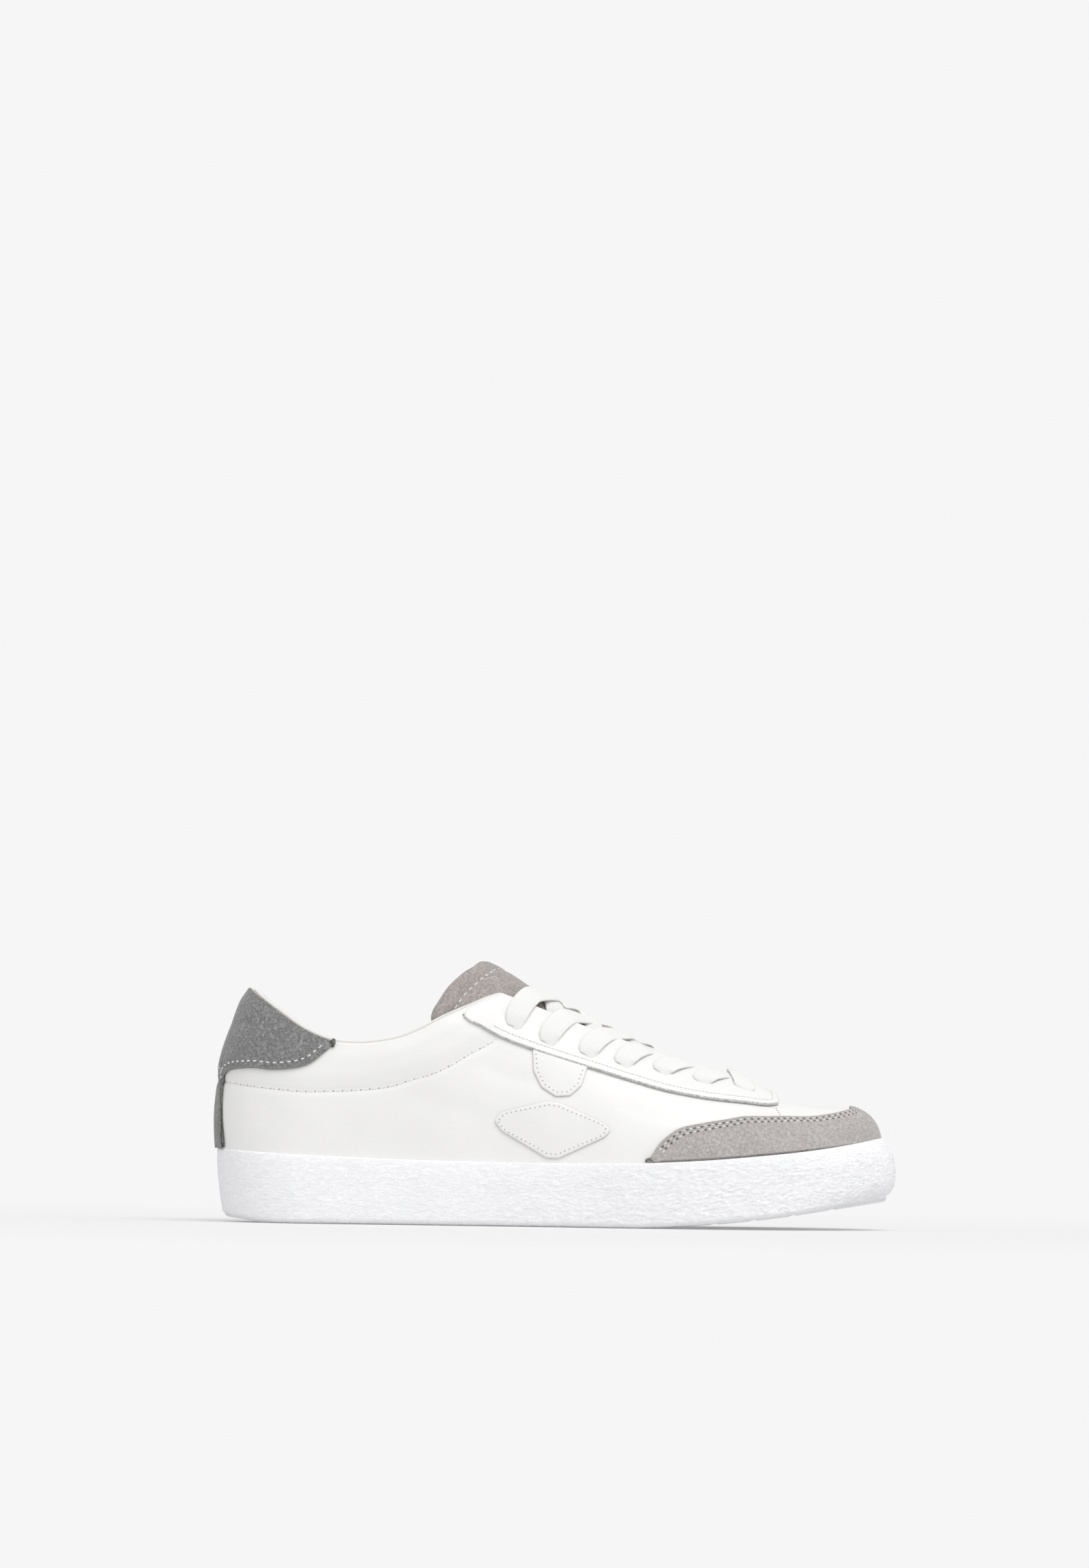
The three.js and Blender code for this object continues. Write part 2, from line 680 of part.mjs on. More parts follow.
const sneaker = new THREE.Group();
sneaker.add(finish("outsole", makeOutsole(), whiteRubber));
sneaker.add(finish("cupsole", makeCupsole(), whiteRubber));
sneaker.add(finish("insole", makeInsole(), creamLining));
sneaker.add(finish("upper", makeUpper(), whiteLeather));
sneaker.add(finish("tongue", makeTongue(), greySuede));
sneaker.add(finish("eyestay", makeEyestay(), whiteLeather));
sneaker.add(finish("toe_guard", makeToeGuard(), greySuede));
sneaker.add(finish("heel_tab", makeHeelTab(), darkSuede));
sneaker.add(finish("side_tab", makePatch(tabLine), whiteLeather));
sneaker.add(finish("side_lozenge", makePatch(lozengeLine), whiteLeather));
for (let i = 0; i < eyelets.length - 1; i += 1) {
  sneaker.add(finish("lace_crossing_" + (i + 1), makeLaceCrossing(i), whiteCotton));
}
sneaker.add(finish("lace_bar", makeLaceBar(), whiteCotton));

export default sneaker;
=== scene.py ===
import math
import bmesh
import bpy
import numpy as np
from mathutils import Matrix, Vector, noise


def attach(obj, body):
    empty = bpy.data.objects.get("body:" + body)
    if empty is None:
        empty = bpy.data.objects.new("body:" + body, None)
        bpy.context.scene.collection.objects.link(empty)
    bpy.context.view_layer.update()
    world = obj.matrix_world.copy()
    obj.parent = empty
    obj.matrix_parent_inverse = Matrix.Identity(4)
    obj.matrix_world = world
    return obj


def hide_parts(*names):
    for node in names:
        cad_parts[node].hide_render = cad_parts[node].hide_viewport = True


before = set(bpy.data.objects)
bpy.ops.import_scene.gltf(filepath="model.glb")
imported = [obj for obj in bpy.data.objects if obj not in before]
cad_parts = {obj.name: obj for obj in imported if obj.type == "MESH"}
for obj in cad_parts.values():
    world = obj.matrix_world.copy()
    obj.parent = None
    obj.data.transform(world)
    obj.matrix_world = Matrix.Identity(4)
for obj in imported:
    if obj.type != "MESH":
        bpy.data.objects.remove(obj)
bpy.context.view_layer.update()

rng = np.random.default_rng(7)
mm = 0.001

# The shoe's own sizes in millimetres, the same as the solids have
size = dict(
    soleLength=285, ballWidth=98.5, heelRadius=36, toeRadius=31, soleHeight=27, heelBed=16, toeSpring=12.8,
    heelTaper=3.2, sideTaper=1.5, toeTaper=5.8, instep=100, heelLip=1.6, sideLip=3.4, toeLip=6.4,
    coneBack=60, coneFront=58.5, throatGap=18, wall=2.2)

section = dict(
    at=[0, 0.1, 0.2, 0.3, 0.4, 0.5, 0.6, 0.7, 0.8, 0.9, 1],
    half=[0, 0.348, 0.364, 0.36, 0.364, 0.389, 0.441, 0.487, 0.482, 0.394, 0],
    shift=[0, 0.002, 0, -0.008, -0.02, -0.03, -0.028, -0.012, 0.015, 0.042, 0.065],
    top=[1.141, 1.07, 1.033, 1, 0.989, 0.985, 0.996, 1.044, 1.137, 1.26, 1.437],
    under=[0.22, 0, 0, 0, 0, 0, 0, 0.11, 0.33, 0.66, 1],
    bed=[1, 0.99, 0.96, 0.91, 0.84, 0.76, 0.7, 0.66, 0.62, 0.58, 0.56],
    round=[2.6, 2.6, 2.8, 2.6, 2.2, 1.95, 1.8, 1.8, 2, 2.8, 6],
    wall=[3, 3, 2.9, 2.7, 2.6, 2.5, 2.4, 2.4, 2.6, 3, 4],
    bulge=[2.3, 1.8, 1, 0.8, 0.6, 0.4, 0.2, 0, 0, 0, 0])
crest = dict(
    at=[0, 0.3, 0.387, 0.444, 0.519, 0.606, 0.695, 0.763, 0.809, 0.844, 0.886, 0.95, 1],
    up=[1.22, 1.21, 1.112, 1.03, 0.914, 0.796, 0.696, 0.632, 0.57, 0.531, 0.519, 0.522, 0.515],
    across=[0, 0, 0.004, 0.008, 0.014, 0.02, 0.026, 0.03, 0.034, 0.038, 0.044, 0.056, 0.065])
sidewall = dict(
    level=[0, 0.08, 0.4, 0.65, 0.87, 1],
    heel=[1, 0.8, 0.35, 0.1, 0, 0],
    side=[1, 0.3, 0, 0, 0.2, 0.6],
    toe=[0.62, 0.2, 0, 0.1, 0.52, 1])
throat = dict(
    at=[0.39, 0.43, 0.47, 0.55, 0.65, 0.74, 0.782, 0.796, 0.8],
    half=[1.08, 1.04, 1, 0.88, 0.72, 0.55, 0.38, 0.2, 0])
# Side view outlines: up is a share of the way from the sole's top line to the crest
collarLine = dict(
    at=[0.0465, 0.062, 0.0818, 0.0993, 0.121, 0.143, 0.165, 0.179, 0.21, 0.239, 0.268, 0.297, 0.334, 0.37, 0.388,
        0.405, 0.418],
    up=[0.742, 0.701, 0.657, 0.62, 0.575, 0.541, 0.517, 0.508, 0.507, 0.518, 0.539, 0.577, 0.655, 0.748, 0.8,
        0.847, 0.885])
eyestayLine = dict(
    at=[0.361, 0.366, 0.38, 0.4155, 0.464, 0.549, 0.613, 0.663, 0.728, 0.769, 0.8, 0.816],
    up=[0.735, 0.693, 0.655, 0.63, 0.632, 0.645, 0.658, 0.668, 0.669, 0.672, 0.693, 0.735])
eyeletRow = dict(
    at=[0.435, 0.484, 0.542, 0.594, 0.65, 0.709, 0.7716],
    up=[0.782, 0.762, 0.771, 0.784, 0.815, 0.829, 0.886])
guardLine = dict(
    at=[0.632, 0.647, 0.6625, 0.68, 0.701, 0.742, 0.777, 0.818, 0.8565, 0.89],
    up=[0, 0.15, 0.243, 0.32, 0.364, 0.44, 0.53, 0.63, 0.705, 0.785])
heelTabLine = dict(
    at=[0.181, 0.17, 0.156, 0.136, 0.113, 0.085, 0.056, 0.027, 0.013, 0.0066],
    up=[0.52, 0.49, 0.45, 0.402, 0.38, 0.37, 0.373, 0.362, 0.335, 0.27])


def curve(xs, ys):
    xs, ys = np.asarray(xs, float), np.asarray(ys, float)
    slope = np.diff(ys) / np.diff(xs)
    tangent = np.concatenate([slope[:1], np.zeros(len(xs) - 2), slope[-1:]])
    same = slope[:-1] * slope[1:] > 0
    pair = np.where(same, slope[:-1] + slope[1:], 1)
    tangent[1:-1] = np.where(same, 2 * slope[:-1] * slope[1:] / pair, 0)

    def read(value):
        value = np.clip(value, xs[0], xs[-1])
        i = np.clip(np.searchsorted(xs, value, side="right") - 1, 0, len(xs) - 2)
        width = xs[i + 1] - xs[i]
        t = (value - xs[i]) / width
        a, b, y0, y1 = tangent[i] * width, tangent[i + 1] * width, ys[i], ys[i + 1]
        return y0 + a * t + (3 * (y1 - y0) - 2 * a - b) * t ** 2 + (2 * (y0 - y1) + a + b) * t ** 3

    return read


def columns(table, by="at"):
    return {key: curve(table[by], table[key]) for key in table if key != by}


sec, cre, side, thr = columns(section), columns(crest), columns(sidewall, "level"), columns(throat)
middle = np.array(section["at"][1:-1])
reach = curve(section["at"], np.concatenate([
    [math.sqrt(size["heelRadius"] * size["soleLength"] / 2)],
    np.array(section["half"][1:-1]) * size["ballWidth"] / (2 * np.sqrt(middle * (1 - middle))),
    [math.sqrt(size["toeRadius"] * size["soleLength"] / 2)]]))


def ease(low, high, value):
    t = np.clip((np.asarray(value, float) - low) / (high - low), 0, 1)
    return t * t * (3 - 2 * t)


def stationX(at):
    return (at - 0.5) * size["soleLength"]


def stationAt(x):
    return x / size["soleLength"] + 0.5


def soleBottom(at):
    return sec["under"](at) * size["toeSpring"]


def soleTop(at):
    return sec["top"](at) * size["soleHeight"]


def footbed(at):
    return soleBottom(at) + sec["bed"](at) * size["heelBed"]


def crestHeight(at):
    return cre["up"](at) * size["instep"]


def crestAcross(at):
    return cre["across"](at) * size["ballWidth"]


def around(at, heel, mid, toe):
    return mid + (heel - mid) * (1 - ease(0, 0.16, at)) + (toe - mid) * ease(0.8, 1, at)


def outline(turn, inset=0.0):
    def place(angle):
        at = (1 - np.cos(angle)) / 2
        return stationX(at), sec["shift"](at) * size["ballWidth"] - reach(at) * np.sin(angle)
    ax, ay = place(turn + 0.01)
    bx, by = place(turn - 0.01)
    length = np.hypot(ax - bx, ay - by)
    x, y = place(turn)
    return x - (ay - by) / length * inset, y + (ax - bx) / length * inset


# turn goes from the heel at 0 along the outer side to the toe at pi and back; rise from the sole to the crest
def lastPoint(turn, rise):
    turn, rise = np.broadcast_arrays(np.asarray(turn, float), np.asarray(rise, float))
    at = (1 - np.cos(turn)) / 2
    bx, by = outline(turn, around(at, size["heelLip"], size["sideLip"], size["toeLip"]))
    sx = (1 - at) * (stationX(0) + size["coneBack"]) + at * (stationX(1) - size["coneFront"])
    sy = crestAcross(stationAt(sx))
    lean = 1 - np.maximum(np.cos(rise), 0) ** (2 / sec["round"](at))
    up = np.maximum(np.sin(rise), 0) ** (2 / sec["wall"](at))
    swell = sec["bulge"](at) * np.sin(np.pi * np.minimum(1, up / 0.62))
    far = np.hypot(bx - sx, by - sy)
    x = bx + (sx - bx) * lean + (bx - sx) / far * swell
    y = by + (sy - by) * lean + (by - sy) / far * swell
    floor = footbed(at)
    return np.stack([x, y, floor + (crestHeight(stationAt(x)) - floor) * up], -1)


def unit(v):
    return v / np.maximum(np.linalg.norm(v, axis=-1, keepdims=True), 1e-9)


def lastNormal(turn, rise):
    r = np.clip(rise, 0.04, math.pi / 2 - 0.06)
    along = lastPoint(turn + 0.02, r) - lastPoint(turn - 0.02, r)
    return unit(np.cross(along, lastPoint(turn, r + 0.02) - lastPoint(turn, r - 0.02)))


def bisect(test, low, high, steps=17):
    low, high = np.array(low, float), np.array(high, float)
    for _ in range(steps):
        half = (low + high) / 2
        below = test(half) < 0
        low, high = np.where(below, half, low), np.where(below, high, half)
    return (low + high) / 2


# Where the outer side has these places of the side view
def locate(x, z):
    x, z = np.asarray(x, float), np.asarray(z, float)
    full = np.full(x.shape, math.pi / 2)

    def riseFor(turn):
        return bisect(lambda r: lastPoint(turn, r)[..., 2] - z, full * 0 + 0.001, full)

    turn = bisect(lambda a: lastPoint(a, riseFor(a))[..., 0] - x, full * 0 + 0.03, full * 2 - 0.03)
    return turn, riseFor(turn)


# Where the surface has these places of the top view
def locateTop(x, y):
    x, y = np.asarray(x, float), np.asarray(y, float)
    hand = np.where(y < crestAcross(stationAt(x)), -1, 1)
    full = np.full(x.shape, math.pi / 2)

    def turnFor(angle):
        return np.where(hand < 0, angle, 2 * math.pi - angle)

    def riseFor(turn):
        return bisect(lambda r: hand * (y - lastPoint(turn, r)[..., 1]), full * 0 + 0.001, full)

    angle = bisect(lambda a: lastPoint(turnFor(a), riseFor(turnFor(a)))[..., 0] - x, full * 0 + 0.03, full * 2 - 0.03)
    return turnFor(angle), riseFor(turnFor(angle))


def sideView(table):
    at = np.array(table["at"], float)
    low = soleTop(at)
    return stationX(at), low + (crestHeight(at) - low) * np.array(table["up"], float)


collarX, collarZ = sideView(collarLine)
collarHeight = curve(collarX, collarZ)


def inOpening(p, more=0.0):
    x, y, z = p[..., 0], p[..., 1], p[..., 2]
    gap = thr["half"](stationAt(x)) * size["throatGap"]
    inSlot = (x > stationX(0.39)) & (x < stationX(0.8) + more) & (np.abs(y - crestAcross(stationAt(x))) < gap + more)
    return ((x < collarX[-1]) & (z > collarHeight(x) - more)) | inSlot


rowSamples = math.pi / 2 * (1 - (1 - np.linspace(0, 1, 260)) ** 2.5)


def firstRise(turn, test):
    turn = np.asarray(turn, float)
    p = lastPoint(turn[:, None], rowSamples[None, :])
    hit = test(p)
    index = np.where(hit.any(1), hit.argmax(1), len(rowSamples) - 1)
    low, high = rowSamples[np.maximum(index - 1, 0)], rowSamples[index]
    return bisect(lambda r: np.where(test(lastPoint(turn, r)), 1.0, -1.0), low, high, 14)


def riseRows(turn, low, high, shares):
    w = np.linspace(0, 1, 90)
    a, b = [1 - (1 - np.asarray(v) / (math.pi / 2)) ** 0.4 for v in (low, high)]
    rise = math.pi / 2 * (1 - (1 - (a[:, None] + (b - a)[:, None] * w)) ** 2.5)
    p = lastPoint(turn[:, None], rise)
    run = np.concatenate([np.zeros((len(turn), 1)), np.cumsum(np.linalg.norm(np.diff(p, axis=1), axis=2), 1)], 1)
    out = np.empty((len(turn), len(shares)))
    for i in range(len(turn)):
        out[i] = np.interp(np.asarray(shares) * run[i, -1], run[i], rise[i])
    return out, run[:, -1]


def evenTurns(count, start=0.0, end=2 * math.pi, inset=10.0):
    fine = np.linspace(start, end, 4001)
    x, y = outline(fine, inset)
    run = np.concatenate([[0], np.cumsum(np.hypot(np.diff(x), np.diff(y)))])
    return np.interp(np.linspace(0, run[-1], count), run, fine)


print("shape ready")


# Nodes of a material: each helper adds one node and joins its inputs
class Shader:
    def __init__(self, name):
        self.material = bpy.data.materials.new(name)
        self.material.use_nodes = True
        self.tree = self.material.node_tree
        self.tree.nodes.clear()
        self.out = self.tree.nodes.new("ShaderNodeOutputMaterial")

    def put(self, kind, settings=(), **inputs):
        node = self.tree.nodes.new(kind)
        for key, value in dict(settings).items():
            setattr(node, key, value)
        for key, value in inputs.items():
            socket = node.inputs[key.replace("_", " ")] if not key.startswith("i") or not key[1:].isdigit() else node.inputs[int(key[1:])]
            if isinstance(value, bpy.types.NodeSocket):
                self.tree.links.new(value, socket)
            else:
                socket.default_value = value
        return node

    def place(self, stretch=(1, 1, 1)):
        where = self.put("ShaderNodeTexCoord").outputs["Object"]
        return self.put("ShaderNodeMapping", Vector=where, Scale=stretch).outputs[0]

    def noise(self, scale, detail=3.0, rough=0.55, vector=None, **more):
        return self.put("ShaderNodeTexNoise", Vector=vector or self.place(), Scale=scale, Detail=detail,
                        Roughness=rough, **more).outputs["Fac"]

    def cells(self, scale, vector=None, feature="F1"):
        return self.put("ShaderNodeTexVoronoi", dict(feature=feature), Vector=vector or self.place(),
                        Scale=scale).outputs["Distance"]

    def math(self, operation, a, b=0.0, clamp=False):
        return self.put("ShaderNodeMath", dict(operation=operation, use_clamp=clamp), i0=a, i1=b).outputs[0]

    def remap(self, value, low, high, to=(0.0, 1.0)):
        return self.put("ShaderNodeMapRange", i0=value, i1=low, i2=high, i3=to[0], i4=to[1]).outputs[0]

    def mix(self, share, a, b):
        node = self.put("ShaderNodeMix", dict(data_type="RGBA"))
        for index, value in ((0, share), (6, a), (7, b)):
            if isinstance(value, bpy.types.NodeSocket):
                self.tree.links.new(value, node.inputs[index])
            else:
                node.inputs[index].default_value = (*value, 1) if index else value
        return node.outputs[2]

    def bump(self, height, distance, strength=1.0, normal=None):
        node = self.put("ShaderNodeBump", Height=height, Distance=distance * mm, Strength=strength)
        if normal is not None:
            self.tree.links.new(normal, node.inputs["Normal"])
        return node.outputs[0]

    def finish(self, **inputs):
        node = self.put("ShaderNodeBsdfPrincipled")
        for key, value in inputs.items():
            socket = node.inputs[key.replace("_", " ")]
            if isinstance(value, bpy.types.NodeSocket):
                self.tree.links.new(value, socket)
            else:
                socket.default_value = (*value, 1) if isinstance(value, tuple) and len(value) == 3 else value
        self.tree.links.new(node.outputs[0], self.out.inputs[0])
        return self.material


def leatherMaterial(name, color, dull=0.46):
    s = Shader(name)
    pores = s.cells(1500)
    wrinkles = s.noise(420, 4, 0.6)
    drift = s.noise(45, 2)
    tone = s.mix(s.remap(drift, 0.35, 0.65), tuple(c * 0.985 for c in color), color)
    bump = s.bump(wrinkles, 0.22, 0.35)
    bump = s.bump(pores, 0.05, 0.35, bump)
    rough = s.remap(drift, 0.3, 0.7, (dull - 0.04, dull + 0.05))
    return s.finish(Base_Color=tone, Roughness=rough, Normal=bump, Coat_Weight=0.08, Coat_Roughness=0.35)


def suedeMaterial(name, dark, light, worn, nap=1.0):
    s = Shader(name)
    grain = s.noise(1150, 4, 0.75)
    fleck = s.noise(700, 3, 0.7)
    brush = s.noise(90, 3, 0.6)
    tone = s.mix(s.remap(grain, 0.38, 0.62), dark, light)
    tone = s.mix(s.math("MULTIPLY", s.remap(fleck, 0.5, 0.68), 0.7), tone, worn)
    tone = s.mix(s.math("MULTIPLY", s.remap(brush, 0.35, 0.7), 0.25), tone, dark)
    bump = s.bump(fleck, 0.35, 0.5 * nap)
    bump = s.bump(grain, 0.2, 0.7 * nap, bump)
    return s.finish(Base_Color=tone, Roughness=0.95, Normal=bump, Sheen_Weight=0.25, Sheen_Roughness=0.5,
                    Specular_IOR_Level=0.2)


def rubberMaterial(name, color, relief=1.0):
    s = Shader(name)
    stretched = s.place((1, 1, 3.0))
    ripple = s.noise(210, 2, 0.5, stretched, Distortion=1.6)
    ridges = s.remap(s.math("ABSOLUTE", s.math("SUBTRACT", ripple, 0.5)), 0.0, 0.06, (1.0, 0.0))
    fine = s.noise(1800, 2)
    bump = s.bump(ridges, 0.4, 0.4 * relief)
    bump = s.bump(fine, 0.05, 0.4, bump)
    tone = s.mix(s.remap(s.noise(60, 2), 0.3, 0.7), tuple(c * 0.985 for c in color), color)
    return s.finish(Base_Color=tone, Roughness=0.58, Normal=bump, Specular_IOR_Level=0.4)


def clothMaterial(name, color, pitch=0.7, depth=0.12):
    s = Shader(name)
    knit = s.cells(1000 / pitch)
    fuzz = s.noise(1600, 3, 0.7)
    bump = s.bump(knit, depth, 0.7)
    bump = s.bump(fuzz, 0.08, 0.5, bump)
    tone = s.mix(s.remap(s.noise(150, 2), 0.3, 0.7), tuple(c * 0.96 for c in color), color)
    return s.finish(Base_Color=tone, Roughness=0.92, Normal=bump, Sheen_Weight=0.2)


def laceMaterial(name, color):
    s = Shader(name)
    uv = s.put("ShaderNodeUVMap", dict(uv_map="lace")).outputs[0]
    parts = s.put("ShaderNodeSeparateXYZ", i0=uv)
    along, across = parts.outputs[0], parts.outputs[1]
    slant = s.math("ADD", s.math("MULTIPLY", along, 2 * math.pi / 1.5), s.math("MULTIPLY", across, 2 * math.pi / 1.1))
    back = s.math("SUBTRACT", s.math("MULTIPLY", along, 2 * math.pi / 1.5), s.math("MULTIPLY", across, 2 * math.pi / 1.1))
    weave = s.math("MULTIPLY", s.math("SINE", slant), s.math("SINE", back))
    ribs = s.math("SINE", s.math("MULTIPLY", across, 2 * math.pi / 1.4))
    height = s.math("ADD", s.math("MULTIPLY", weave, 0.5), s.math("MULTIPLY", ribs, 0.35))
    fuzz = s.noise(1400, 3, 0.7)
    bump = s.bump(height, 0.12, 0.6)
    bump = s.bump(fuzz, 0.12, 0.5, bump)
    # Painted shade: the colour turns darker where the weave height is low, in the weave's hollows
    tone = s.mix(s.remap(height, -0.8, 0.6), tuple(c * 0.93 for c in color), color)
    return s.finish(Base_Color=tone, Roughness=0.9, Normal=bump, Sheen_Weight=0.25)


def plainMaterial(name, color, rough=0.8):
    s = Shader(name)
    tone = s.mix(s.remap(s.noise(900, 3), 0.3, 0.7), tuple(c * 0.7 for c in color), color)
    return s.finish(Base_Color=tone, Roughness=rough)


leather = leatherMaterial("whiteLeather", (0.86, 0.855, 0.84))
patchLeather = leatherMaterial("patchLeather", (0.84, 0.835, 0.825), 0.5)

guardCut = plainMaterial("guardCut", (0.36, 0.345, 0.335), 1.0)
heelCut = plainMaterial("heelCut", (0.30, 0.30, 0.30), 1.0)
patchEdge = plainMaterial("patchEdge", (0.68, 0.67, 0.66), 0.95)
rawEdge = suedeMaterial("rawEdge", (0.36, 0.36, 0.36), (0.80, 0.80, 0.79), (0.86, 0.86, 0.85))
guardSuede = suedeMaterial("guardSuede", (0.33, 0.308, 0.297), (0.52, 0.49, 0.475), (0.62, 0.59, 0.575))
tongueSuede = suedeMaterial("tongueSuede", (0.28, 0.252, 0.242), (0.46, 0.42, 0.405), (0.54, 0.50, 0.485))
heelSuede = suedeMaterial("heelSuede", (0.13, 0.132, 0.131), (0.27, 0.272, 0.268), (0.42, 0.42, 0.415))
sideRubber = rubberMaterial("sideRubber", (0.935, 0.935, 0.955))
treadRubber = rubberMaterial("treadRubber", (0.88, 0.88, 0.89), 0.5)
lining = clothMaterial("creamLining", (0.86, 0.845, 0.81))
footbedCloth = clothMaterial("footbedCloth", (0.80, 0.79, 0.76), 0.9)
laceCotton = laceMaterial("laceCotton", (0.87, 0.87, 0.86))
whiteThread = plainMaterial("whiteThread", (0.88, 0.87, 0.85))
paleThread = plainMaterial("paleThread", (0.70, 0.69, 0.675))
# Painted shade: this dark grey is the shade inside needle holes and seam holes, set on small flat beads
holeDark = plainMaterial("holeDark", (0.16, 0.155, 0.15), 1.0)
# Painted shade: this pale grey is the lighter shade inside needle holes, set on small flat beads
holePale = plainMaterial("holePale", (0.42, 0.41, 0.40), 1.0)


def gridFaces(columnCount, rowCount, closed=False, start=0, flip=False):
    i = np.arange(columnCount if closed else columnCount - 1)[:, None]
    j = np.arange(rowCount - 1)[None, :]
    k = (i + 1) % columnCount
    faces = np.stack([i * rowCount + j, k * rowCount + j, k * rowCount + j + 1, i * rowCount + j + 1], -1).reshape(-1, 4)
    return faces[:, ::-1] + start if flip else faces + start


def addMesh(name, points, faces, materials, faceMaterial=None):
    mesh = bpy.data.meshes.new(name)
    mesh.from_pydata((np.asarray(points).reshape(-1, 3) * mm).tolist(), [], [list(map(int, f)) for f in faces])
    for material in materials:
        mesh.materials.append(material)
    if faceMaterial is not None:
        mesh.polygons.foreach_set("material_index", np.asarray(faceMaterial, dtype=np.int32))
    mesh.polygons.foreach_set("use_smooth", np.ones(len(mesh.polygons), dtype=bool))
    mesh.update()
    piece = bpy.data.objects.new(name, mesh)
    bpy.context.scene.collection.objects.link(piece)
    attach(piece, "root")
    return piece


def mergePoints(piece):
    work = bmesh.new()
    work.from_mesh(piece.data)
    bmesh.ops.remove_doubles(work, verts=work.verts, dist=1e-6)
    bmesh.ops.dissolve_degenerate(work, edges=work.edges, dist=1e-7)
    work.to_mesh(piece.data)
    work.free()


def thicken(piece, thickness, inner=0, rim=0, even=False):
    layer = piece.modifiers.new("wall", "SOLIDIFY")
    layer.thickness = thickness * mm
    layer.offset = -1
    layer.use_even_offset = even
    layer.material_offset = inner
    layer.material_offset_rim = rim
    return piece


# Paths on the last: a path is two arrays, turn and rise
def pathFromSide(xs, zs, step=1.2):
    xs, zs = np.asarray(xs, float), np.asarray(zs, float)
    run = np.concatenate([[0], np.cumsum(np.hypot(np.diff(xs), np.diff(zs)))])
    fx, fz = curve(run, xs), curve(run, zs)
    t = np.linspace(0, run[-1], max(3, int(run[-1] / step)))
    return locate(fx(t), fz(t))


def mirrored(path):
    return 2 * math.pi - path[0][::-1], path[1][::-1]


def joined(*paths):
    return np.concatenate([p[0] for p in paths]), np.concatenate([p[1] for p in paths])


def shifted(path, distance):
    turn, rise = path
    point = lastPoint(turn, rise)
    along = unit(np.gradient(point, axis=0))
    across = unit(np.cross(lastNormal(turn, rise), along)) * distance
    jt = (lastPoint(turn + 0.002, rise) - lastPoint(turn - 0.002, rise)) / 0.004
    jr = (lastPoint(turn, rise + 0.002) - lastPoint(turn, rise - 0.002)) / 0.004
    a, b, c = (jt * jt).sum(1), (jt * jr).sum(1), (jr * jr).sum(1)
    p, q = (jt * across).sum(1), (jr * across).sum(1)
    det = np.maximum(a * c - b * b, 1e-6)
    return turn + (c * p - b * q) / det, rise + (a * q - b * p) / det


def distanceTo(points, path3):
    best = np.full(points.shape[:-1], 1e9)
    for a, b in zip(path3[:-1], path3[1:]):
        ab = b - a
        t = np.clip(((points - a) @ ab) / max(ab @ ab, 1e-9), 0, 1)
        best = np.minimum(best, np.linalg.norm(points - a - t[..., None] * ab, axis=-1))
    return best


# The leather's own relief
relief = dict(
    padLift=0.9, padReach=8.0, stitchDepth=0.4, stitchWidth=1.1, softness=0.22, eyeletDip=0.5, eyeletReach=4.5)
collarStitch = dict(
    x=[-143.4, -139.3, -130.7, -115.8, -105.2, -93.8, -81.5, -69.3, -61.2, -53, -44.8, -36.7, -25.6],
    z=[58.9, 58.5, 57.2, 55.6, 54.8, 55.1, 55.8, 57.5, 60.1, 62.6, 66.4, 71.4, 77.5])
stitchHeight = curve(collarStitch["x"], collarStitch["z"])
# Soft folds, each a line in the side view, with its depth and half width
folds = [
    dict(x=[-30, -20, -8], z=[66, 62, 60], depth=0.3, width=3.5),
    dict(x=[-58, -48, -36], z=[52, 49, 48], depth=0.25, width=5),
    dict(x=[30, 44, 58], z=[50, 46.5, 43.5], depth=0.3, width=4),
    dict(x=[66, 76, 88], z=[49.5, 48.5, 48.6], depth=0.25, width=2.5),
    dict(x=[-120, -112, -104], z=[45, 40, 37], depth=0.3, width=6),
]
for fold in folds:
    turn, rise = pathFromSide(fold["x"], fold["z"], 3)
    fold["paths"] = [lastPoint(turn, rise), lastPoint(2 * math.pi - turn, rise)]

eyeX, eyeZ = sideView(eyeletRow)
eyeTurn, eyeRise = locate(eyeX, eyeZ)
eyeletTurn = np.concatenate([eyeTurn, 2 * math.pi - eyeTurn])
eyeletRise = np.concatenate([eyeRise, eyeRise])
eyeletPoint, eyeletNormal = lastPoint(eyeletTurn, eyeletRise), lastNormal(eyeletTurn, eyeletRise)


def skinLift(p):
    x, y, z = p[..., 0], p[..., 1], p[..., 2]
    rear = 1 - ease(-34, -22, x)
    over, below = z - stitchHeight(x), collarHeight(x) - z
    lift = relief["padLift"] * ease(0, relief["padReach"], over) * ease(-1, 7, below) * rear
    lift = lift - relief["stitchDepth"] * np.exp(-(over / relief["stitchWidth"]) ** 2) * (1 - ease(-28, -23, x))
    lift = lift + relief["softness"] * (
        np.sin(x / 17 + 1.3) * np.sin(z / 13 + 0.4 + x / 41) + 0.6 * np.sin(x / 9.1 + z / 7.7 + 2) * np.sin(z / 9.3 + y / 15))
    for fold in folds:
        for path in fold["paths"]:
            lift = lift - fold["depth"] * np.exp(-(distanceTo(p, path) / fold["width"]) ** 2)
    for centre in eyeletPoint:
        near = np.linalg.norm(p - centre, axis=-1)
        lift = lift - relief["eyeletDip"] * np.exp(-(near / relief["eyeletReach"]) ** 2)
    return lift


def onSkin(turn, rise, lift=0.0):
    p = lastPoint(turn, rise)
    return p + lastNormal(turn, rise) * (skinLift(p) + lift)[..., None]


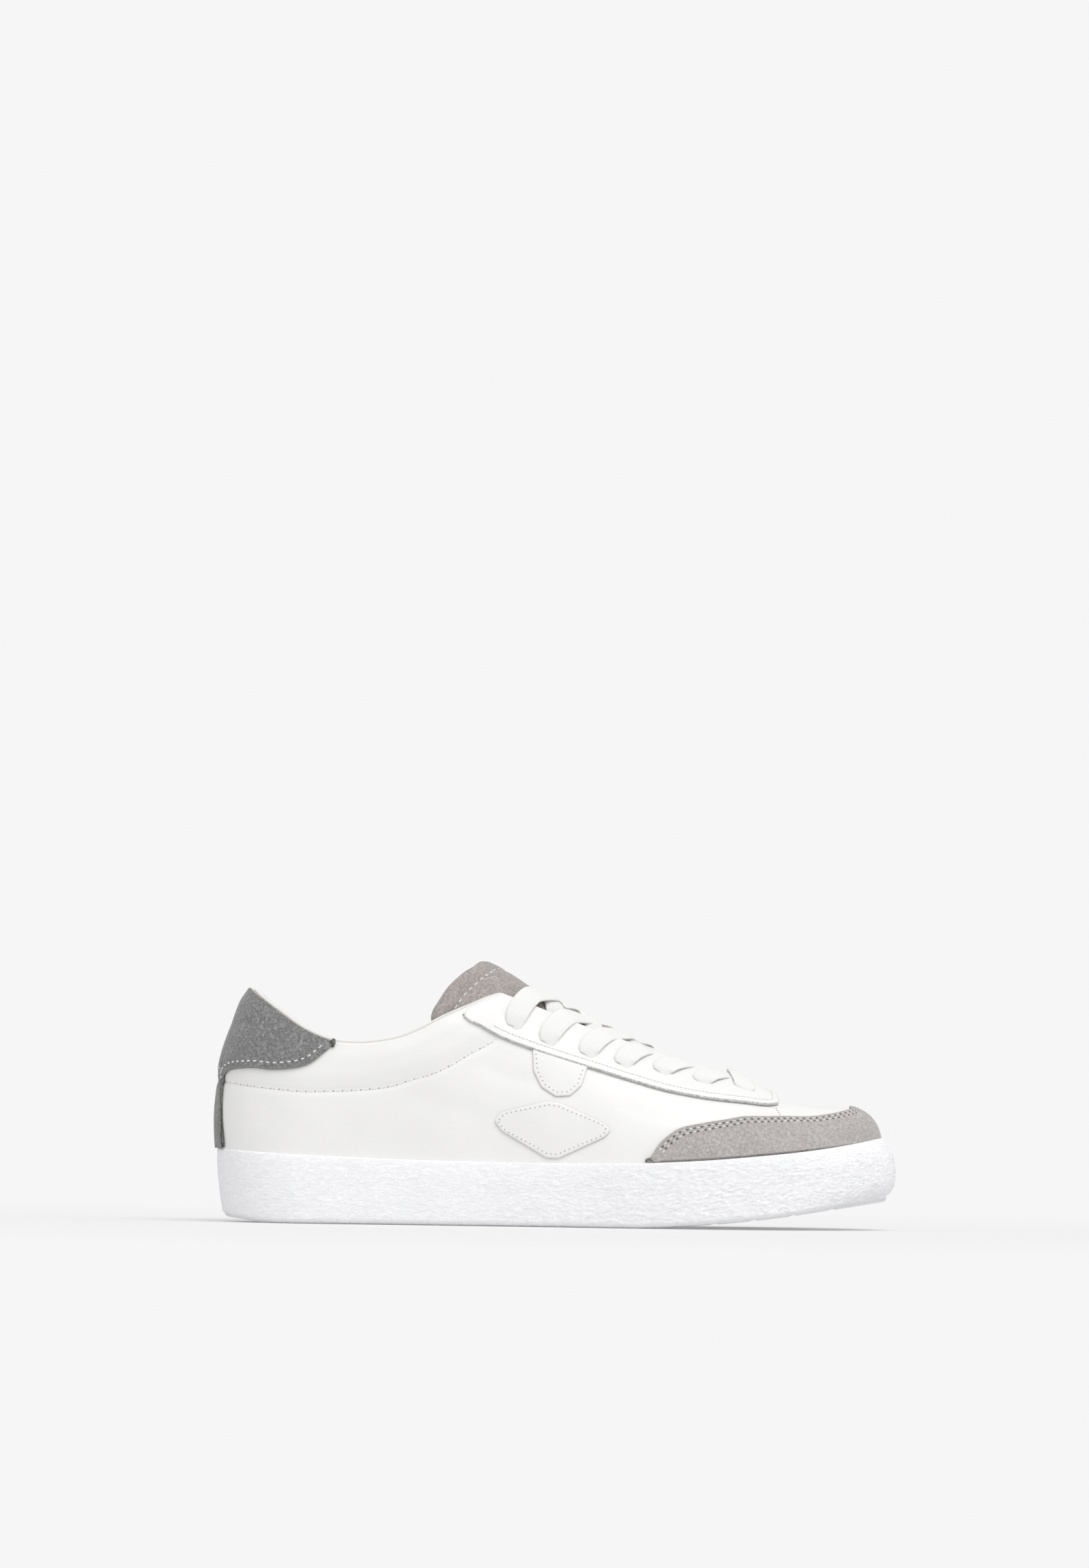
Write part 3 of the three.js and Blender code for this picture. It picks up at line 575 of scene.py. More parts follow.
# Cuts round holes into a sheet of quads and draws the edge out to a circle
def punch(points, faces, radius, cell):
    points = points.copy()
    gone = np.zeros(len(points), bool)
    for centre, axis in zip(eyeletPoint, eyeletNormal):
        rel = points - centre
        high = rel @ axis
        flat = rel - high[:, None] * axis
        rho = np.linalg.norm(flat, axis=1)
        near = (np.abs(high) < 7) & (rho < radius + 2 * cell)
        gone |= near & (rho < radius - cell)
        push = near & (rho >= radius - cell)
        new = radius + (rho[push] - radius + cell) * 2 / 3
        points[push] += flat[push] / rho[push][:, None] * (new - rho[push])[:, None]
    keep = ~gone[faces].any(1)
    kept, lost = faces[keep], faces[~keep]
    edge = np.intersect1d(kept.ravel(), lost.ravel())
    for centre, axis in zip(eyeletPoint, eyeletNormal):
        rel = points[edge] - centre
        high = rel @ axis
        flat = rel - high[:, None] * axis
        rho = np.linalg.norm(flat, axis=1)
        near = (np.abs(high) < 7) & (rho < radius + 3 * cell)
        points[edge[near]] += flat[near] * ((radius - rho[near]) / rho[near])[:, None]
    used = np.unique(kept)
    number = np.full(len(points), -1)
    number[used] = np.arange(len(used))
    return points[used], number[kept], keep


# The leather shell
upper = dict(columns=560, rows=64, wall=2.0, hole=2.35, cell=0.75)
turns = evenTurns(upper["columns"] + 1)[:-1]
openRise = firstRise(turns, inOpening)
rises, _ = riseRows(turns, np.full(len(turns), 0.0015), openRise, np.linspace(0, 1, upper["rows"]))
skin = onSkin(turns[:, None] + rises * 0, rises)
points, faces, _ = punch(skin.reshape(-1, 3), gridFaces(len(turns), upper["rows"], closed=True), upper["hole"], upper["cell"])
upperPiece = addMesh("upperShell", points, faces, [leather, lining, leather])
thicken(upperPiece, upper["wall"], inner=1, rim=2)
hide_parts("upper")
print("upper ready")

# How high on the last each column is at these distances below its top
def risesBelow(turn, top, distances):
    shares = np.linspace(0, 1, 60)
    rise, width = riseRows(turn, np.full(len(turn), 0.0015), top, shares)
    out = np.empty((len(turn), len(distances)))
    for i in range(len(turn)):
        out[i] = np.interp(width[i] - np.asarray(distances), shares * width[i], rise[i])
    return out


# The padded collar: a rolled lining that stands just over the leather's edge and swells inward
collar = dict(
    padFront=-46, padBack=-78, bandFront=-13, bandBack=-30, heelBand=0.55,
    up=[0.4, 0.9, 1.3, 1.5, 1.4, 1.0, 0.1, -2.5, -6, -11, -17, -24, -31, -38, -38, -24, -12, -4, -1.2, 0],
    out=[-0.55, -0.45, -0.8, -1.7, -3, -4.6, -6.2, -7.6, -8.4, -8.6, -7.6, -5.8, -4, -2.7, -2.1, -2.1, -2.1, -2, -1.9, -1.1])
around1 = np.where(turns > math.pi, turns - 2 * math.pi, turns)
order = np.argsort(around1)
order = order[lastPoint(around1[order], openRise[order])[:, 0] < collar["bandFront"] + 1]
rollTurn, rollTop = around1[order], openRise[order]
rollEdge = onSkin(rollTurn, rollTop)
rollX = rollEdge[:, 0]
rollNormal = lastNormal(rollTurn, rollTop)
rollUp = unit(lastPoint(rollTurn, rollTop) - lastPoint(rollTurn, rollTop - 0.01))
bandFade = (1 - ease(collar["bandBack"], collar["bandFront"], rollX)) * (
    collar["heelBand"] + (1 - collar["heelBand"]) * ease(-130, -112, rollX))
padFade = 1 - ease(collar["padBack"], collar["padFront"], rollX)
drops = np.array([max(0.0, -u) for u in collar["up"]])
lowRise = risesBelow(rollTurn, rollTop, drops)
rows = []
for k, (high, deep) in enumerate(zip(collar["up"], collar["out"])):
    depth = np.where(deep < -2.2, -2.2 + (deep + 2.2) * padFade, deep)[:, None]
    if high > 0:
        rows.append(rollEdge + rollUp * (high * bandFade)[:, None] + rollNormal * depth)
    else:
        rows.append(lastPoint(rollTurn, lowRise[:, k]) + lastNormal(rollTurn, lowRise[:, k]) * depth)
rows.append(rows[0])
roll = np.stack(rows, 1)
count, depthRows = roll.shape[:2]
ends = [list(range(depthRows - 1))[::-1], [(count - 1) * depthRows + k for k in range(depthRows - 1)]]
liningPiece = addMesh("collarLining", roll, [*gridFaces(count, depthRows).tolist(), *ends], [lining])
mergePoints(liningPiece)
print("collar ready")


# A layer on the leather between two edges. Its cut edges slope over the width cut, in the last material.
def layer(name, turn, low, high, thickness, materials, slotName, replaced, rowCount=40, holes=False, cut=0.7, fray=0.0,
          widen=None):
    slope = np.array([0, 0.2, 0.5, 0.85, 1.0])
    s = np.linspace(0, 1, rowCount)[None, :]
    fine, width = riseRows(turn, low, high, np.linspace(0, 1, 80))
    wide = np.maximum(width, 0.05)[:, None]
    first = np.minimum(cut / wide, 0.2) * slope[None, :]
    share = np.concatenate([first[:, :-1], first[:, -1:] + (1 - 2 * first[:, -1:]) * s, 1 - first[:, :-1][:, ::-1]], 1)
    rise = np.stack([np.interp(row, np.linspace(0, 1, 80), f) for row, f in zip(share, fine)])
    spread = turn[:, None] * np.ones_like(rise)
    if widen:
        strip = np.abs(turn)[:, None] <= widen[0] * 1.001
        spread = spread * np.where(strip, 1 + widen[1] * (1 - ease(33, 50, lastPoint(spread, rise)[..., 2])), 1)
    near = np.minimum(share, 1 - share) * wide
    soft = np.sqrt(np.maximum(0, 1 - (1 - np.clip(near / cut, 0, 1)) ** 2))
    lift = thickness * (0.45 + 0.55 * soft)
    if fray:
        rough = rng.normal(0, fray, share.shape) * (near < cut * 0.9)
        rise = rise + rough * (high - low)[:, None] / wide
        lift = lift + np.abs(rng.normal(0, fray, share.shape)) * (near < cut)
    points = onSkin(spread, rise, lift).reshape(-1, 3)
    faces = gridFaces(len(turn), rise.shape[1])
    kinds = (np.arange(rise.shape[1] - 1)[None, :] < 3) & (wide[:-1] > 11 * cut)
    kinds = np.where(kinds, len(materials) - 1, 0).ravel()
    if holes:
        points, faces, kept = punch(points, faces, upper["hole"] + 0.1, 0.6)
        kinds = kinds[kept]
    piece = addMesh(name, points, faces, materials, kinds)
    thicken(piece, thickness + 0.3, rim=len(materials) - 1)
    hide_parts(*replaced)
    return piece


def edgeRises(turn, height, limit):
    return np.minimum(firstRise(turn, lambda p: p[..., 2] > height(p[..., 0])), limit)


def overSole(turn, more=0.15):
    return firstRise(turn, lambda p: p[..., 2] > soleTop(stationAt(p[..., 0])) + more)


# The eyestay: a U over both sides of the throat, its lower edge cut square
eyestay = dict(thickness=1.5, frontX=91.6, columns=520)
stayLow = curve([-39.7, -37.5, -34, -24.1, -10.3, 13.9, 32.1, 46.5, 64.9, 76.6, 88, 91.7],
                [86.7, 84.8, 83.1, 78.2, 73.1, 65.6, 60.2, 56.3, 53.2, 52.1, 51.1, 51.6])
stayFront = curve([49.6, 50.6, 52, 55.2, 57.3, 60], [88.6, 91.2, 91.9, 91.5, 90.8, 90.2])
stayRear = curve([-39.7, -39.2, -37.5, -34, -30, -26, -22], [86.8, 88.3, 90, 92.1, 93.6, 95.1, 99])


def inEyestay(p):
    x, z = p[..., 0], p[..., 2]
    return (z > stayLow(x)) & (x < stayFront(z)) & (x > -39.7)


first = locate(np.array([-39.6]), np.array([86.8]))[0][0]
stayTurns = evenTurns(eyestay["columns"], first, 2 * math.pi - first)
stayTop = firstRise(stayTurns, lambda p: inOpening(p, 0.25) | ((p[..., 0] < -22) & (p[..., 2] > stayRear(p[..., 0]))))
stayBottom = np.minimum(firstRise(stayTurns, inEyestay), stayTop - 1e-4)
eyestayPiece = layer("eyestayLeather", stayTurns, stayBottom, stayTop, eyestay["thickness"], [leather, rawEdge],
                     "leather", ["eyestay"], 50, holes=True, cut=0.8, fray=0.02)
print("eyestay ready")

# The toe guard
guard = dict(thickness=1.3, topX=122.5, columns=420)
gx, gz = sideView(guardLine)
guardTurn, guardRise = pathFromSide(gx[:-1], np.maximum(gz[:-1], 20), 1.5)
toeRise = firstRise(np.array([math.pi]), lambda p: p[..., 0] < guard["topX"])[0]
guardEdge = curve(np.append(guardTurn, math.pi), np.append(guardRise, toeRise))
start = guardTurn[0] + 0.002
guardTurns = evenTurns(guard["columns"], start, 2 * math.pi - start)
folded = np.where(guardTurns > math.pi, 2 * math.pi - guardTurns, guardTurns)
guardTop = np.maximum(guardEdge(folded), overSole(guardTurns) + 0.003)
guardPiece = layer("toeGuardSuede", guardTurns, overSole(guardTurns), guardTop, guard["thickness"],
                   [guardSuede, guardCut], "guard_suede", ["toe_guard"], 44, fray=0.05)
print("guard ready")

# The heel tab with its narrow strip down to the sole
heelTab = dict(thickness=1.3, stripX=-140.4, columns=190)
hx, hz = sideView(heelTabLine)
order = np.argsort(hx)
tabLow = curve(hx[order], hz[order])
last = locate(np.array([-93.6]), np.array([75.9]))[0][0]
stripTurn = locate(np.array([-141.3]), np.array([45.0]))[0][0]


def halfTab():
    tabTurns = np.concatenate([
        np.linspace(0, stripTurn, 14)[:-1], np.linspace(stripTurn, stripTurn * 3, 20)[:-1],
        evenTurns(heelTab["columns"], stripTurn * 3, last)])
    top = firstRise(tabTurns, inOpening)
    bottom = edgeRises(tabTurns, tabLow, top - 1e-4)
    bottom = np.where(tabTurns <= stripTurn, overSole(tabTurns), bottom)
    return tabTurns, bottom, top


tabTurns, tabBottom, tabTop = halfTab()
allTurns = np.concatenate([-tabTurns[::-1], tabTurns[1:]])
allBottom, allTop = np.concatenate([tabBottom[::-1], tabBottom[1:]]), np.concatenate([tabTop[::-1], tabTop[1:]])
heelPiece = layer("heelTabSuede", allTurns, allBottom, allTop, heelTab["thickness"], [heelSuede, heelCut],
                  "heel_suede", ["heel_tab"], 60, fray=0.05, widen=(stripTurn, 0.5))
print("heel tab ready")


# The cup sole: a wrinkled side, a smooth lip at its top, and faces closed over the bed and underneath
sole = dict(columns=900, step=0.35, plateInset=4.0, plate=3.5, crinkle=0.42, crinkleHeel=0.16, toeRound=2.4)
around0 = evenTurns(sole["columns"] + 1, inset=0)[:-1]
soleAt = (1 - np.cos(around0)) / 2
soleLow, soleHigh = soleBottom(soleAt) + sole["step"], soleTop(soleAt)
spineX = (1 - soleAt) * (stationX(0) + size["coneBack"]) + soleAt * (stationX(1) - size["coneFront"])
spine = np.stack([spineX, crestAcross(stationAt(spineX))], -1)


def sideInset(level):
    return around(soleAt, side["heel"](level) * size["heelTaper"], side["side"](level) * size["sideTaper"],
                  side["toe"](level) * size["toeTaper"])


def ring(inset, z):
    x, y = outline(around0, inset)
    return np.stack([x, y, z], -1)


def ringIn(share, z, inset=4.0):
    x, y = outline(around0, inset)
    edge = np.stack([x, y], -1)
    flat = edge + (spine - edge) * share
    return np.concatenate([flat, np.broadcast_to(z, soleAt.shape)[:, None]], -1)


levels = np.concatenate([[0, 0.012, 0.03], np.linspace(0.05, 0.93, 64), [0.945, 0.955, 0.965, 0.98]])
sideRows = [ring(sideInset(v) + 1.0 * (1 - ease(0, 0.05, v)) ** 2, soleLow + (soleHigh - soleLow) * v) for v in levels]
sideRows = np.stack(sideRows, 1)
toeRound = sole["toeRound"] * ease(0.86, 1.0, soleAt)[:, None] * (1 - ease(0, 0.3, levels))[None, :] ** 2
sideRows[..., :2] += (spine - ring(0, soleAt)[:, :2])[:, None] / np.linalg.norm(
    spine - ring(0, soleAt)[:, :2], axis=1)[:, None, None] * toeRound[..., None]
outX, outY = outline(around0, -1)
outward = unit(np.stack([outX - ring(0, soleAt)[:, 0], outY - ring(0, soleAt)[:, 1], soleAt * 0], -1))
run = np.concatenate([[0], np.cumsum(np.linalg.norm(np.diff(ring(0, soleAt * 0), axis=0), axis=1))])
forward = 0.5 * (1 - np.cos(around0))


def ridges(p, seed):
    warp = noise.noise(Vector((p[0] / 9, p[1] / 9, p[2] / 6 + seed))) * 2.4
    v = noise.noise(Vector((p[0] / 4.2 + seed, p[1] / 4.2, p[2] / 1.35 + warp)))
    w = noise.noise(Vector((p[0] / 2.4 - seed, p[1] / 2.4, p[2] / 0.95 + 1.4 * warp)))
    return max(0, 1 - abs(v) * 3.4) ** 1.3 * 0.75 + max(0, 1 - abs(w) * 3.6) ** 1.3 * 0.45


depth = sole["crinkleHeel"] + (sole["crinkle"] - sole["crinkleHeel"]) * ease(0.3, 0.8, forward)
for j, level in enumerate(levels):
    fadeEdge = float(ease(0.01, 0.06, level) * (1 - ease(0.88, 0.94, level)))
    if fadeEdge > 0:
        value = np.array([ridges(p, 3.7) for p in sideRows[:, j]])
        sideRows[:, j] += outward * ((value - 0.5) * depth * fadeEdge)[:, None]
topRise = bisect(lambda r: lastPoint(around0, r)[..., 2] - soleHigh, around0 * 0 + 0.0015, around0 * 0 + 1.0)
leatherFoot = lastPoint(around0, topRise)
leatherIn = leatherFoot - lastNormal(around0, topRise) * 1.2
sideTop = sideRows[:, -1]
lipRows = [sideTop + [0, 0, 0.0] - outward * 0.25 + (soleHigh - sideTop[:, 2])[:, None] * [0, 0, 0.75],
           sideTop * [1, 1, 0] - outward * 0.6 + soleHigh[:, None] * [0, 0, 1],
           (sideTop * [1, 1, 0] - outward * 0.6) * 0.4 + leatherFoot * [0.6, 0.6, 0] + (soleHigh - 0.15)[:, None] * [0, 0, 1],
           leatherIn * [1, 1, 0] + (soleHigh - 0.5)[:, None] * [0, 0, 1]]
inside = [lastPoint(around0, r) - lastNormal(around0, r) * 1.4 for r in (topRise * 0.6, topRise * 0.25, topRise * 0 + 0.002)]
bedZ = footbed(soleAt)
bed = [ringIn(s, footbed(stationAt(ringIn(s, bedZ, 9)[:, 0])), 9) for s in (0.05, 0.25, 0.5, 0.75, 1)]
under = [ringIn(s, soleBottom(stationAt(ringIn(s, bedZ)[:, 0])) + sole["plate"] + 0.3) for s in (1, 0.75, 0.5, 0.25, 0.0)]
under.append(ring(sole["plateInset"] - 0.3, soleLow))
under.append(ring(sideInset(0) + 1.6, soleLow - 0.0))
allRows = np.stack([*under, *[sideRows[:, j] for j in range(sideRows.shape[1])], *lipRows, *inside, *bed], 1)


def closedRings(name, rows, material, replaced):
    piece = addMesh(name, rows, gridFaces(rows.shape[0], rows.shape[1], closed=True), [material])
    mergePoints(piece)
    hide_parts(replaced)
    return piece


cupPiece = closedRings("cupSole", allRows, sideRubber, "cupsole")
print("cup sole ready")

# The tread plate: cross grooves, and fine waves between them
tread = dict(grooves=15, grooveWidth=2.6, grooveDepth=1.5, rings=40)
low = []
for share in np.concatenate([[0, 0.01, 0.03], np.linspace(0.06, 1, tread["rings"])]):
    flat = ringIn(share, soleAt * 0)
    at = stationAt(flat[:, 0])
    phase = (at - 0.07) / 0.86 * tread["grooves"]
    offGroove = np.abs(phase - np.floor(phase) - 0.5) * 0.86 * size["soleLength"] / tread["grooves"]
    groove = tread["grooveDepth"] * (1 - ease(0.35 * tread["grooveWidth"], 0.6 * tread["grooveWidth"], offGroove))
    groove = groove * (at > 0.07) * (at < 0.93) * ease(0.0, 0.03, share)
    rib = 0.35 * (0.5 + 0.5 * np.sin(flat[:, 0] * 2 * math.pi / 3.2 + 0.8 * np.sin(flat[:, 1] / 4))) * ease(0.05, 0.1, share)
    lift = np.maximum(groove, rib * (groove < 0.1))
    low.append(np.stack([flat[:, 0], flat[:, 1], soleBottom(at) + lift + 0.5 * (1 - ease(0, 0.012, share))], -1))
high = [ringIn(s, soleBottom(stationAt(ringIn(s, bedZ)[:, 0])) + sole["plate"]) for s in (0, 0.5, 1)]
treadPiece = closedRings("treadPlate", np.stack([*low[::-1], *high], 1), treadRubber, "outsole")
print("tread ready")

# The insole: a soft board under cloth, turned up a little at its edge
insole = dict(thickness=4.0, inset=3.4, dish=0.8)
insideTurn = evenTurns(361, inset=8)[:-1]
insideAt = (1 - np.cos(insideTurn)) / 2
edgeIn = lastPoint(insideTurn, 0.0015) - lastNormal(insideTurn, 0.0015) * insole["inset"]
inX = (1 - insideAt) * (stationX(0) + size["coneBack"]) + insideAt * (stationX(1) - size["coneFront"])
spineIn = np.stack([inX, crestAcross(stationAt(inX))], -1)


def insoleRing(share, up):
    flat = edgeIn[:, :2] + (spineIn - edgeIn[:, :2]) * share
    return np.concatenate([flat, (footbed(stationAt(flat[:, 0])) + up)[:, None]], -1)


tops = [(0, 0.4), (0, 1.6), (0.005, 3.0), (0.02, 3.9), (0.05, 4.2), (0.1, 4.1), (0.2, 3.8), (0.35, 3.5), (0.5, 3.4), (0.75, 3.4), (1, 3.4)]
rows = [insoleRing(s, 0.35) for s in (1, 0.7, 0.4, 0.1)] + [insoleRing(s, u) for s, u in tops]
insolePiece = closedRings("insoleBoard", np.stack(rows, 1), footbedCloth, "insole")
print("insole ready")

# The tongue: a padded suede tongue, lower under the eyestay and proud in the gap
tongue = dict(pad=4.6, under=2.8, proud=1.2, tuck=3.2, edge=2.4, across=70, along=120, seam=8.0)
tongueEdge = dict(at=[0.318, 0.3135, 0.317, 0.324, 0.342, 0.362, 0.3845], up=[0.6, 0.65, 0.69, 0.73, 0.83, 0.915, 0.998])
tongueFoot = dict(at=[0.318, 0.42, 0.55, 0.7, 0.775], up=[0.6, 0.5, 0.56, 0.7, 0.86])


def tableHeights(table):
    at = np.array(table["at"])
    low = soleTop(at)
    return stationX(at), low + (crestHeight(at) - low) * np.array(table["up"])


def resample(path, count):
    p = lastPoint(*path)
    run = np.concatenate([[0], np.cumsum(np.linalg.norm(np.diff(p, axis=0), axis=1))])
    t = np.linspace(0, run[-1], count)
    return np.interp(t, run, path[0]), np.interp(t, run, path[1])


topEdge = pathFromSide(*tableHeights(tongueEdge), 1.0)
topEdge = (np.append(topEdge[0], topEdge[0][-1] + 0.004), np.append(topEdge[1], math.pi / 2))
footEdge = resample(pathFromSide(*tableHeights(tongueFoot), 1.5), tongue["along"])
topEdge = resample(topEdge, tongue["across"])
rightEdge = (np.full(tongue["across"], footEdge[0][-1]), np.linspace(footEdge[1][-1], math.pi / 2, tongue["across"]))
crestEdge = (np.linspace(topEdge[0][-1], rightEdge[0][-1], tongue["along"]), np.full(tongue["along"], math.pi / 2))
u, w = np.meshgrid(np.linspace(0, 1, tongue["along"]), np.linspace(0, 1, tongue["across"]), indexing="ij")


def patchOf(k):
    left, right, foot, top = topEdge[k], rightEdge[k], footEdge[k], crestEdge[k]
    return ((1 - u) * left[None, :] + u * right[None, :] + (1 - w) * foot[:, None] + w * top[:, None]
            - (1 - u) * (1 - w) * foot[0] - u * (1 - w) * foot[-1] - (1 - u) * w * top[0] - u * w * top[-1])


tTurn, tRise = patchOf(0), patchOf(1)
tTurn = np.concatenate([tTurn, (2 * math.pi - tTurn)[:, -2::-1]], 1)
tRise = np.concatenate([tRise, tRise[:, -2::-1]], 1)
base = lastPoint(tTurn, tRise)
across = np.abs(base[..., 1] - crestAcross(stationAt(base[..., 0])))
gap = thr["half"](stationAt(base[..., 0])) * size["throatGap"]
fromTop = np.concatenate([np.zeros((1, base.shape[1])), np.cumsum(np.linalg.norm(np.diff(base, axis=0), axis=2), 0)], 0)
toFoot = fromTop[-1] - fromTop
alongW = np.concatenate([np.zeros((base.shape[0], 1)), np.cumsum(np.linalg.norm(np.diff(base, axis=1), axis=2), 1)], 1)
fromSide = np.minimum(alongW, alongW[:, -1:] - alongW)
near = np.minimum(np.minimum(fromTop, toFoot), fromSide)
bevel = np.sqrt(np.maximum(0, 1 - (1 - np.clip(near / tongue["edge"], 0, 1)) ** 2))
lift = -tongue["under"] + tongue["proud"] * ease(0, 6, gap) * (1 - ease(0.1, 0.95, across / np.maximum(gap, 1)))
flank = ease(0.75, 1.15, across / np.maximum(gap, 1)) * (1 - ease(-48, -20, base[..., 0]))
lift = lift - tongue["tuck"] * flank
lift = lift - 0.7 * np.exp(-((fromTop - tongue["seam"]) / 1.2) ** 2) - 0.5 * np.exp(-((fromTop - 2.6) / 0.6) ** 2)
puff = np.exp(-((base[..., 0] - 22.5) / 6.5) ** 2) * 2.2 + np.exp(-((base[..., 0] - 1.5) / 4) ** 2) * 1.0
lift = lift + puff * (1 - ease(0.1, 0.8, across / np.maximum(gap, 1)))
lift = lift + 2.2 * (1 - ease(3, 34, fromTop))
toeThin = 1 - 0.45 * ease(20, 70, base[..., 0])
tNormal = lastNormal(tTurn, tRise)
tNormal = unit(tNormal)
mid = lift - tongue["pad"] / 2 * toeThin
outer = base + tNormal * (mid + tongue["pad"] / 2 * toeThin * bevel)[..., None]
back = base + tNormal * (mid - tongue["pad"] / 2 * toeThin * bevel)[..., None]
rowCount = base.shape[1]
faces = np.concatenate([gridFaces(base.shape[0], rowCount), gridFaces(base.shape[0], rowCount, start=base.shape[0] * rowCount, flip=True)])
kinds = np.concatenate([np.zeros(len(faces) // 2, int), (near[:-1, :-1] > 6).ravel().astype(int)])
tonguePiece = addMesh("tonguePad", np.concatenate([outer.reshape(-1, 3), back.reshape(-1, 3)]), faces,
                      [tongueSuede, lining], kinds)
mergePoints(tonguePiece)
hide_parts("tongue")
print("tongue ready")

# The lace: two flat strands from the toe-most eyelets up, each crossing over and under, and one straight bar
lace = dict(width=9.4, thickness=1.8, step=0.5, around=20)


def laceFrames(points, normals, widths):
    run = np.concatenate([[0], np.cumsum(np.linalg.norm(np.diff(points, axis=0), axis=1))])
    t = np.arange(0, run[-1], lace["step"])
    p = np.stack([curve(run, points[:, k])(t) for k in range(3)], -1)
    n = np.stack([np.interp(t, run, normals[:, k]) for k in range(3)], -1)
    wide = np.interp(t, run, widths)
    for _ in range(4):
        p[1:-1] = (p[:-2] + 2 * p[1:-1] + p[2:]) / 4
        n[1:-1] = (n[:-2] + 2 * n[1:-1] + n[2:]) / 4
    ahead = unit(np.gradient(p, axis=0))
    sideways = unit(np.cross(ahead, n))
    return p, ahead, sideways, unit(np.cross(sideways, ahead)), wide, t


def laceMesh(name, points, normals, widths):
    p, ahead, sideways, up, wide, t = laceFrames(points, normals, widths)
    angle = np.linspace(0, 2 * math.pi, lace["around"], endpoint=False)
    cx = np.sign(np.cos(angle)) * np.abs(np.cos(angle)) ** 0.6
    cz = np.sign(np.sin(angle)) * np.abs(np.sin(angle)) ** 0.75
    thick = lace["thickness"] * (1 + 0.9 * (1 - wide / lace["width"]))
    body = p[:, None] + sideways[:, None] * (cx[None, :, None] * wide[:, None, None] / 2) \
        + up[:, None] * (cz[None, :, None] * thick[:, None, None] / 2)
    n = len(angle)
    faces = []
    for i in range(len(p) - 1):
        for k in range(n):
            m = (k + 1) % n
            faces.append((i * n + k, i * n + m, (i + 1) * n + m, (i + 1) * n + k))
    faces.append(tuple(range(n))[::-1])
    faces.append(tuple((len(p) - 1) * n + k for k in range(n)))
    piece = addMesh(name, body, faces, [laceCotton])
    layerUv = piece.data.uv_layers.new(name="lace")
    acrossMm = np.tile(cx * lace["width"] / 2 + np.where(cz < 0, lace["width"], 0), len(p))
    alongMm = np.repeat(t, n)
    loops = np.empty(len(piece.data.loops), dtype=np.int32)
    piece.data.loops.foreach_get("vertex_index", loops)
    layerUv.data.foreach_set("uv", np.stack([alongMm[loops], acrossMm[loops]], -1).ravel())
    return piece


def eyelet(j, s):
    return lastPoint(eyeTurn[j] if s < 0 else 2 * math.pi - eyeTurn[j], eyeRise[j])


def gapEdge(j, s):
    x = eyeX[j] + (5 if j < 6 else 1)
    at = stationAt(x)
    return np.array([x, crestAcross(at) + s * (thr["half"](at) * size["throatGap"] - 1.5)])


laceOver = dict(
    spot=[0, 0.08, 0.2, 0.34, 0.5, 0.64, 0.76, 0.87, 0.96, 1.02, 1.06],
    ahead=[0, 0.04, 0.09, 0.15, 0.27, 0.44, 0.62, 0.78, 0.91, 0.98, 1.0],
    lift=[-3.2, -2.2, -1.2, -0.9, -0.7, 0.2, 1.9, 2.5, 2.5, 2.0, 0.7],
    above=[0, 0, 0, 0.5, 1, 0.5, 0, 0, 0, 0, 0],
    wide=[0.85, 0.95, 1, 1, 1, 1, 1, 1.02, 1.02, 0.95, 0.7])
laceDive = dict(spot=[0.0, 0.3, 0.7], lift=[-2.0, -4.2, -4.0], above=[0, 0, 0], wide=[0.5, 0.7, 0.85])
laceBar = dict(
    bow=-3.0,
    spot=[0.0, -0.05, -0.02, 0.09, 0.3, 0.5, 0.7, 0.91, 1.02, 1.05, 1.0],
    lift=[-2.4, 0.7, 1.7, 2.0, 1.9, 1.8, 1.9, 2.0, 1.7, 0.7, -2.4],
    above=[0] * 11, wide=[0.5, 0.7, 0.98, 1, 1, 1, 1, 1, 0.98, 0.7, 0.5])


# Each stretch is a table laid between two places of the top view
def stretch(table, start, end, over=0.0):
    spot = np.array(table["spot"])[:, None]
    flat = start + (end - start) * np.column_stack([table.get("ahead", table["spot"]), table["spot"]])
    flat[:, 0] += table.get("bow", 0) * np.sin(math.pi * np.clip(spot[:, 0], 0, 1))
    lift = np.array(table["lift"]) + over * np.array(table["above"])
    return np.column_stack([flat, lift, np.array(table["wide"]) * lace["width"]])


def strand(s, over):
    parts = []
    for j in range(5, -1, -1):
        parts.append(stretch(laceDive, eyelet(j + 1, s)[:2], gapEdge(j + 1, s)))
        s = -s
        parts.append(stretch(laceOver, gapEdge(j + 1, -s), eyelet(j, s)[:2], over))
    parts.append(stretch(laceDive, eyelet(0, s)[:2], gapEdge(0, s))[:2])
    return np.concatenate(parts)


def laid(rows):
    turn, rise = locateTop(rows[:, 0], rows[:, 1])
    n = lastNormal(turn, rise)
    return lastPoint(turn, rise) + n * rows[:, 2:3], n, rows[:, 3]


crossings = [f"lace_crossing_{k}" for k in range(1, 7)]
outerStrand = laceMesh("laceStrandOuter", *laid(strand(-1, 1.2)))
innerStrand = laceMesh("laceStrandInner", *laid(strand(1, 0.0)))
barPiece = laceMesh("laceBar", *laid(stretch(laceBar, eyelet(6, -1)[:2], eyelet(6, 1)[:2])))
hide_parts(*crossings)
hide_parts(*crossings)
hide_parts("lace_bar")
print("laces ready")

